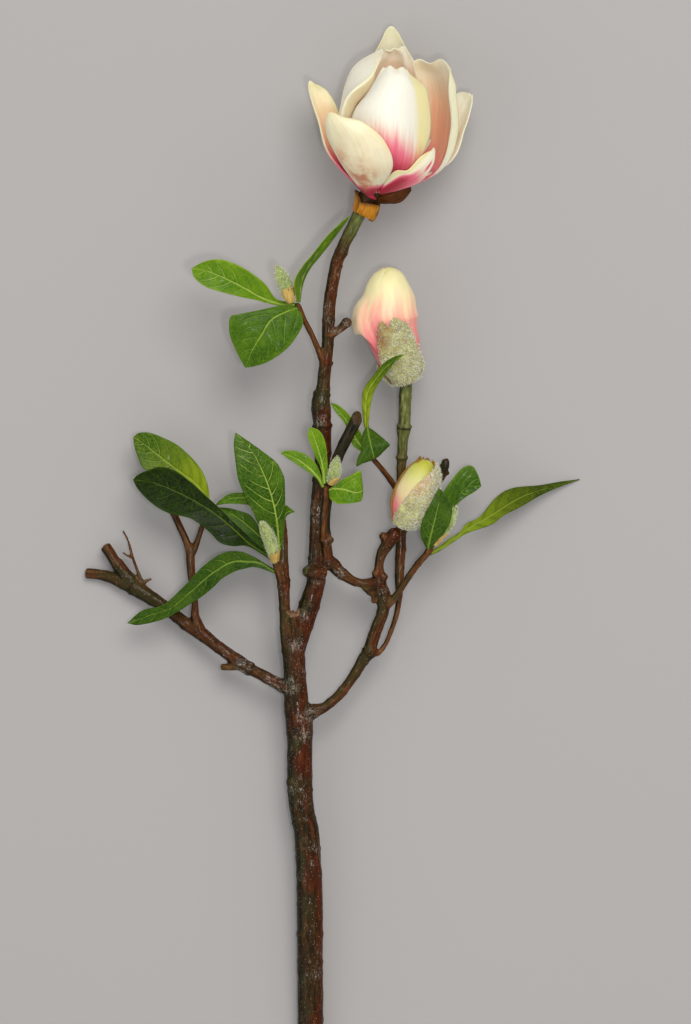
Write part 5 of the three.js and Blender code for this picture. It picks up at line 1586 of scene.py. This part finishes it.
def make_bloom():
    """The nine tepals of the open bloom, and the receptacle that they grow from."""
    skin = Skin()
    for name, tepal in TEPALS.items():
        look = TEPAL_LOOKS[name]
        grid, u, v, past = tepal_grid(tepal, look)
        spread = flat_places(from_middle(grid, TEPAL_COLUMNS // 2), u * TEPAL_LENGTH)
        rim = past if "fold" in look else v
        half = TEPAL_THICKNESS / 2 * (1 - 0.55 * rim ** 10) * (1 - 0.45 * u ** 10)
        points, faces = blade_shell(grid, half, half)
        points[:, 2] = np.maximum(points[:, 2], TEPAL_CLEARANCE)
        marks = tepal_marks(look, u, v, past, spread)
        marks = {mark: both_faces(values) for mark, values in marks.items()}
        inner = np.repeat([1.0, 0.0] if look["faces_in"] else [0.0, 1.0], u.size)
        marks["salmon"] = np.clip(marks["salmon"] * (0.35 + 0.65 * inner), 0, 1)
        skin.add(points, faces, spread=both_faces(spread), **marks)
    points, faces = round_skin(body_rings(RECEPTACLE, 30, 28)[0])
    full = np.ones(len(points))
    skin.add(
        points, faces, spread=points, blush=full, salmon=0 * full, lime=0 * full, rust=0 * full,
    )
    piece = skin.piece("open_bloom_tepals")
    piece.data.validate()
    settle(piece, "bloom_tepals", tepal_finish("tepal"))


# Sprouts: hairs, stamens and carpels that Geometry Nodes set on a surface


def sprout_tree(name, sprout):
    """Node tree that sets one small shape all over a surface, leaning along its comb mark.

    Inputs are the density for each square metre, the lean from upright to combed flat, the
    spread of the directions, the smallest and largest size, the seed and the material."""
    tree = bpy.data.node_groups.new(name, "GeometryNodeTree")
    for label, kind in (
        ("Geometry", "Geometry"), ("Density", "Float"), ("Lean", "Float"), ("Spread", "Float"),
        ("Smallest", "Float"), ("Largest", "Float"), ("Seed", "Int"), ("Material", "Material"),
    ):
        tree.interface.new_socket(label, in_out="INPUT", socket_type="NodeSocket" + kind)
    tree.interface.new_socket("Geometry", in_out="OUTPUT", socket_type="NodeSocketGeometry")

    def node(kind, inputs, **settings):
        return add_node(tree, kind, inputs, **settings).outputs

    given = node("NodeGroupInput", {})
    furry = node("GeometryNodeInputNamedAttribute", {"Name": "furry"})["Attribute"]
    density = node("ShaderNodeMath", {0: furry, 1: given["Density"]}, operation="MULTIPLY")[0]
    spots = node("GeometryNodeDistributePointsOnFaces", {
        "Mesh": given["Geometry"], "Density": density, "Seed": given["Seed"],
    })
    comb = node("GeometryNodeInputNamedAttribute", {"Name": "comb"}, data_type="FLOAT_VECTOR")
    leaned = node("ShaderNodeMix", {
        0: given["Lean"], 4: spots["Normal"], 5: comb["Attribute"],
    }, data_type="VECTOR")[1]
    stray = node("FunctionNodeRandomValue", {
        0: (-1, -1, -1), 1: (1, 1, 1), "Seed": given["Seed"],
    }, data_type="FLOAT_VECTOR")[0]
    stray = node("ShaderNodeVectorMath", {0: stray, "Scale": given["Spread"]}, operation="SCALE")[0]
    way = node("ShaderNodeVectorMath", {0: leaned, 1: stray})[0]
    turned = node("FunctionNodeAlignRotationToVector", {"Vector": way}, axis="Z")[0]
    size = node("FunctionNodeRandomValue", {
        2: given["Smallest"], 3: given["Largest"], "Seed": given["Seed"],
    })[1]
    shape = node("GeometryNodeObjectInfo", {"Object": sprout})["Geometry"]
    planted = node("GeometryNodeInstanceOnPoints", {
        "Points": spots["Points"], "Instance": shape, "Rotation": turned, "Scale": size,
    })[0]
    real = node("GeometryNodeRealizeInstances", {"Geometry": planted})[0]
    dressed = node("GeometryNodeSetMaterial", {"Geometry": real, "Material": given["Material"]})[0]
    add_node(tree, "NodeGroupOutput", {0: dressed})
    return tree


def plant(base, tree, name, finish, inputs):
    """Piece of all the sprouts that a tree sets on a copy of base."""
    copy = add_object(name + "_ground", base.data)
    modifier = copy.modifiers.new("sprouts", "NODES")
    modifier.node_group = tree
    sockets = {
        item.name: item.identifier
        for item in tree.interface.items_tree if item.in_out == "INPUT"
    }
    for label, value in {**inputs, "Material": finish}.items():
        modifier[sockets[label]] = value
    settle(add_object(name, evaluated_mesh(copy, name)), None)


def spike_shape(name, length, width, bend, steps):
    """Three-sided hair that stands on its foot and bends to +X towards its point."""
    points, faces = [], []
    for step in range(steps):
        height = step / steps
        thick = width * (1 - 0.45 * height)
        for corner in range(3):
            angle = 2 * np.pi * corner / 3
            points.append((
                thick * np.cos(angle) + bend * height ** 2, thick * np.sin(angle),
                length * height,
            ))
    points.append((bend, 0, length))
    for step in range(steps - 1):
        for corner in range(3):
            a, b = 3 * step + corner, 3 * step + (corner + 1) % 3
            faces.append((a, b, b + 3, a + 3))
    top = 3 * (steps - 1)
    faces.extend((top + k, top + (k + 1) % 3, 3 * steps) for k in range(3))
    faces.append((2, 1, 0))
    mesh = bpy.data.meshes.new(name)
    mesh.from_pydata((np.array(points) * MM).tolist(), [], faces)
    return bpy.data.objects.new(name, mesh)


# Buds and scales


# Places of a grid round a body: their share of its axis and their angle round it, then
# their share of the wrap and their place across it from -1 to 1
Spots = namedtuple("Spots", "share degrees u v")


def wrap_grid(stations, wrap):
    """Grid of a tepal or scale that hugs a round body, and its Spots."""
    columns = 2 * int(max(wrap["half"] / WRAP_COLUMN, 12))
    row = np.linspace(0, 1, WRAP_ROWS + 1)
    climb = np.sin(np.pi / 2 * row)
    half = wrap["half"] * np.sqrt(np.maximum(1 - climb ** wrap["power"], 0.0004))
    v = np.linspace(-1, 1, columns + 1)
    degrees = wrap["centre"] - half[:, None] * v
    u, v = np.meshgrid(row, v, indexing="ij")
    first_angle, last_angle, rise = wrap.get("hem", (0, 1, 0))
    turned = smooth_step(first_angle, last_angle, degrees)
    hem = wrap["first"] + rise * turned
    share = hem + (wrap["last"] - hem) * climb[:, None]
    for angle, width, depth in wrap.get("nicks", ()):
        share = share - depth * ridge(degrees - angle, width) * smooth_step(0.45, 1, u)
    flare = wrap.get("flare", 0) * smooth_step(0.3, 0, u) * turned
    offset = (wrap["inner"] + wrap["outer"]) / 2 + flare
    grid = body_grid(stations, share, degrees, np.broadcast_to(offset, degrees.shape))
    return grid, Spots(share, degrees, u, v)


def add_wrap(skin, stations, wrap, marks, thin, roughness):
    """Adds one wrap to a skin. marks makes its marks from its Spots. thin is how much
    thinner its margin and its top are. roughness is how far its bumps stand out."""
    grid, at = wrap_grid(stations, wrap)
    grid = raised(grid, roughness * soft_noise(grid, 5, wrap["centre"]))
    half = (wrap["outer"] - wrap["inner"]) / 2 * (1 - thin * at.v ** 8) * (1 - thin * at.u ** 8)
    points, faces = blade_shell(grid, half, half)
    made = {name: both_faces(values) for name, values in marks(at).items()}
    if "furry" in made:
        made["furry"][at.u.size:] = 0
    comb = both_faces(unit(np.gradient(grid, axis=0)))
    skin.add(points, faces, comb=comb, spread=body_spread(grid), **made)


def body_spread(grid):
    """Flat coordinates, on both faces of a blade that is wrapped round a body."""
    return both_faces(flat_places(from_middle(grid, grid.shape[1] // 2), travelled(grid, 0)))


def wrapped_piece(name, stations, wraps, marks, thin, roughness):
    """Piece that is made of wraps alone."""
    skin = Skin()
    for wrap in wraps:
        add_wrap(skin, stations, wrap, marks, thin, roughness)
    return skin.piece(name)


def body_rings(stations, rows, sides):
    """Rings of places round a body, with their shares and angles."""
    degrees = np.broadcast_to(np.linspace(0, 360, sides, endpoint=False), (rows, sides))
    shares = np.repeat(np.linspace(0, 1, rows)[:, None], sides, axis=1)
    return body_grid(stations, shares, degrees, np.zeros((rows, sides))), shares, degrees


def add_body(skin, stations, marks, rows=60, sides=40):
    """Adds a round body to a skin, with marks as for a wrap."""
    rings, shares, degrees = body_rings(stations, rows, sides)
    points, faces = round_skin(rings)
    made = marks(Spots(shares, degrees, shares, 0 * shares))
    tipward = np.vstack([unit(np.gradient(rings, axis=0)).reshape(-1, 3), [(0, 0, 0)] * 2])
    skin.add(points, faces, comb=tipward, spread=points, **{
        name: np.concatenate([values.ravel(), [values[0].mean(), values[-1].mean()]])
        for name, values in made.items()
    })


def pink_bud_marks(at):
    """Deep pink under the outer tepals, and yellow above them."""
    low = smooth_step(0.66, 0.46, at.share)
    return {
        "blush": 0.78 * low, "salmon": 0.6 * smooth_step(0.86, 0.6, at.share),
        "lime": 0.3 + 0.2 * smooth_step(0.66, 0.95, at.share), "rust": 0 * at.share,
    }


def pink_wrap_marks(at):
    """Pale yellow top, peach pink below it, deepest towards the scale's left margin."""
    ragged = 0.03 * np.sin(np.radians(at.degrees) * 9) + 0.02 * np.sin(np.radians(at.degrees) * 23)
    height = at.share + ragged
    flank = at.degrees % 360
    blush = smooth_step(0.74, 0.5, height) * (0.44 - 0.4 * smooth_step(130, 160, flank))
    blush += 0.55 * smooth_step(0.58, 0.4, height) * ridge(flank - 122, 22)
    blush += 0.3 * smooth_step(0.5, 0.3, height) * smooth_step(60, 10, flank)
    salmon = 0.9 * smooth_step(0.84, 0.56, height) * (1 - 0.6 * smooth_step(130, 165, flank))
    return {
        "blush": blush, "salmon": salmon, "lime": 0.16 + 0.2 * smooth_step(0.62, 0.95, height),
        "rust": 0 * at.share,
    }


def small_bud_marks(at):
    """Yellow-green bud with a pink flush at its lower left."""
    left = smooth_step(100, 170, at.degrees % 360)
    blush = smooth_step(0.62, 0.26, at.share) * (0.45 + 0.55 * left)
    return {
        "blush": blush, "salmon": 0.5 * smooth_step(0.75, 0.5, at.share),
        "lime": 0.55 + 0.45 * smooth_step(0.5, 0.9, at.share), "rust": 0 * at.share,
    }


def furry_marks(at, worn=0, peach=0):
    """Hair all over, except where it is worn, and a peach flush."""
    none = np.zeros_like(at.u)
    return {"furry": 1 - 0.75 * (none + worn), "worn": none + worn, "peach": none + peach}


def worn_fur(at):
    """A worn brown place at the upper left."""
    worn = smooth_step(92, 112, at.degrees % 360) * smooth_step(0.3, 0.46, at.share)
    worn = np.maximum(worn, 0.8 * ridge(at.degrees - 95, 8) * smooth_step(0.4, 0.52, at.share))
    return furry_marks(at, worn=worn)


def peach_fur(at):
    """A peach flush at the tip."""
    peach = smooth_step(0.4, 0.75, at.share) * smooth_step(20, 110, at.degrees)
    return furry_marks(at, peach=peach)


def even_fur(at):
    return furry_marks(at)


def no_marks(at):
    return {}


# Marks for painted shade of the cup's hollow, darker towards its top and its side margins
def painted_cup_shade_marks(at):
    tip = smooth_step(0.45, 0.95, at.u)
    return {"scorched": np.maximum(tip, smooth_step(0.55, 0.95, np.abs(at.v)))}


def fur_finish(name):
    """Skin of a furry scale under its hairs: olive green, ochre where it is worn."""
    low, middle, high = FUR_SHADES[name]
    finish = Finish(name, 0.85, {"Sheen Weight": 0.3, "Sheen Roughness": 0.6})
    places = finish.places()
    patch = finish.noise(places, 230, 4, 0.65)
    shade = finish.ramp(patch, [(0.34, low), (0.48, middle), (0.66, high)])
    shade = finish.blend(finish.mark("peach"), shade, (236, 176, 128))
    finish.colour(finish.cover(shade, (150, 86, 32), finish.mark("worn"), 0.8))
    finish.bump(finish.noise(places, 1400, 3), 0.6, 0.25)
    return finish.material


def hair_finish(name):
    """Silky hair in two shades, brown where it is worn."""
    dark, light = HAIR_SHADES[name]
    finish = Finish(name, 0.5, {"Sheen Weight": 0.5, "Sheen Roughness": 0.4})
    places = finish.places()
    shade = finish.ramp(finish.noise(places, 850, 3, 0.7), [(0.42, dark), (0.58, light)])
    shade = finish.cover(shade, (250, 214, 180), finish.mark("peach"), 0.5)
    brown = finish.fade(finish.noise(places, 900, 2), 0.45, 0.55)
    finish.colour(finish.cover(shade, (156, 98, 44), finish.mark("worn"), brown))
    return finish.material


def bract_finish(name):
    """Dry papery scale with lengthwise fibres."""
    dark, light, roughness = BRACT_SHADES[name]
    finish = Finish(name, roughness, {
        "Specular IOR Level": 0.12, "Coat Weight": 0.05, "Coat Roughness": 0.3,
    })
    fibre = finish.noise(finish.mark("spread", "Vector"), (1.6, 0.16, 1.0), 4, 0.6)
    blotch = finish.noise(finish.places(), 160, 3)
    shade = finish.ramp(fibre, [(0.26, dark), (0.7, light)])
    shade = finish.blend(finish.fade(blotch, 0.42, 0.66, 0.0, 0.55), shade, dark)
    # the mark darkens the cup's top and margins as painted shade of its hollow; other scales lack it
    finish.colour(finish.cover(shade, (58, 30, 8), finish.mark("scorched"), 0.85))
    finish.bump(fibre, 0.5, 0.3)
    return finish.material


def make_buds():
    """The two closed flower buds with their furry scales, and the four leaf buds."""
    tan = bract_finish("tan scale")
    pale = bract_finish("pale scale")
    bud_tepal = tepal_finish("bud tepal")
    green_bud_tepal = tepal_finish("green bud tepal")
    fur_skin = fur_finish("fur skin")
    green_skin = fur_finish("green fur skin")
    silver_hair = hair_finish("silver hair")
    green_hair = hair_finish("green hair")
    hair = sprout_tree("hairs", spike_shape("hair", *HAIR))

    for node, name, bud, marks, wrap_marks, finish in (
        ("pink_bud_tepals", "closed_pink_bud", PINK_BUD, pink_bud_marks, pink_wrap_marks, bud_tepal),
        (
            "small_bud_tepals", "closed_small_bud", SMALL_BUD, small_bud_marks, small_bud_marks,
            green_bud_tepal,
        ),
    ):
        skin = Skin()
        add_body(skin, bud["stations"], marks)
        for wrap in bud["wraps"]:
            add_wrap(skin, bud["stations"], wrap, wrap_marks, thin=0.75, roughness=0.25)
        settle(skin.piece(name), node, finish)
    for node, name, bud, scales, marks in (
        ("pink_bud_scales", "pink_bud_furry_scales", PINK_BUD, PINK_BUD_SCALES, worn_fur),
        ("small_bud_scale", "small_bud_furry_scale", SMALL_BUD, SMALL_BUD_SCALES, peach_fur),
    ):
        piece = wrapped_piece(name, bud["stations"], scales, marks, thin=0.4, roughness=0.3)
        settle(piece, node, fur_skin)
        plant(piece, hair, name.replace("furry", "hairs_of"), silver_hair, SCALE_HAIRS)
    skin = Skin()
    for wrap in SMALL_BUD_RIM:
        add_wrap(skin, SMALL_BUD["stations"], wrap, no_marks, thin=0.5, roughness=0.2)
    add_wrap(skin, SMALL_BUD_CROWN, SMALL_BUD_FRINGE, no_marks, thin=0.6, roughness=0.3)
    settle(skin.piece("small_bud_ochre_rim"), None, tan)
    for node, bud in LEAF_BUDS.items():
        skin = Skin()
        add_body(skin, bud["stations"], even_fur, rows=40, sides=28)
        piece = skin.piece(node + "_body")
        settle(piece, node, green_skin)
        plant(piece, hair, node + "_hairs", green_hair, LEAF_BUD_HAIRS)
        scale = wrapped_piece(
            node + "_foot_scale", bud["stations"], bud["wraps"], no_marks,
            thin=0.5, roughness=0.15,
        )
        settle(scale, None, pale)


def make_heart():
    """Stamens and carpels in the middle of the bloom."""
    for name, stations, shape, inputs in (
        ("stamen", STAMEN_COLUMN, STAMEN, STAMENS), ("carpel", CARPEL_CONE, CARPEL, CARPELS),
    ):
        finish = hair_finish(name)
        skin = Skin()
        add_body(skin, stations, even_fur, rows=24, sides=24)
        piece = skin.piece(name + "s_column")
        settle(piece, None, finish)
        tree = sprout_tree(name + "s", spike_shape(name, *shape))
        plant(piece, tree, name + "s", finish, inputs)


def make_bracts():
    """The cup, with painted shade in its hollow, the dry bract under the bloom, and its dark foot,
    near black as painted shade.
    """
    cup = wrapped_piece(
        "ochre_cup_bract", CUP_BRACT["stations"], CUP_BRACT["wraps"], painted_cup_shade_marks,
        thin=0.5, roughness=0.2,
    )
    settle(cup, "bloom_cup_bract", bract_finish("ochre bract"))
    skin = Skin()
    # the foot's near-black colour is painted shade in the hollow of the cup
    add_body(skin, BLOOM_FOOT, no_marks, rows=30, sides=36)
    foot = skin.piece("dark_foot_of_bloom")
    settle(foot, None, bract_finish("foot of the bloom"))
    skin = Skin()
    share = np.linspace(0, 1, 41)
    rails = (spline(BROWN_BRACT_BLADE[rail], share)[:, None] for rail in ("left", "mid", "right"))
    grid = across_rails(*rails, np.linspace(-1, 1, 25))
    grid = raised(grid, 0.35 * soft_noise(grid, 4))
    half = BROWN_BRACT_THICKNESS / 2
    points, faces = blade_shell(grid, half, half)
    skin.add(points, faces, spread=body_spread(grid))
    blade = skin.piece("brown_dry_bract")
    settle(blade, "bloom_brown_bract", bract_finish("brown bract"))


# Stage


def make_stage():
    """Plain pale floor, soft studio light and the camera above the branch."""
    far = FLOOR_HALF_WIDTH * MM
    corners = [(-far, -far, 0), (far, -far, 0), (far, far, 0), (-far, far, 0)]
    floor = add_object("floor", bpy.data.meshes.new("floor"))
    floor.data.from_pydata(corners, [], [(0, 1, 2, 3)])
    finish = Finish("floor paper", 0.95, {"Specular IOR Level": 0.1})
    finish.colour(FLOOR_COLOUR)
    floor.data.materials.append(finish.material)

    for name, place, size, power, tint in LIGHTS:
        data = bpy.data.lights.new(name, "AREA")
        data.shape = "DISK"
        data.size = size
        data.energy = power
        data.color = tint
        light = add_object(name, data)
        light.location = place
        light.rotation_euler = (-Vector(place)).to_track_quat("-Z", "Y").to_euler()

    world = bpy.data.worlds.new("room")
    world.use_nodes = True
    background = world.node_tree.nodes["Background"]
    background.inputs["Color"].default_value = ROOM_COLOUR
    background.inputs["Strength"].default_value = ROOM_STRENGTH
    bpy.context.scene.world = world
    bpy.context.scene.view_settings.view_transform = "Standard"

    data = bpy.data.cameras.new("camera")
    data.sensor_fit = "VERTICAL"
    data.sensor_height = 24
    data.lens = data.sensor_height * (CAMERA_PLACE[2] - BRANCH_MIDDLE) / VIEW_HEIGHT
    data.clip_end = 20
    camera = add_object("camera", data)
    camera.location = CAMERA_PLACE
    bpy.context.scene.camera = camera


make_stage()
make_wood()
make_leaves()
make_bloom()
make_heart()
make_bracts()
make_buds()
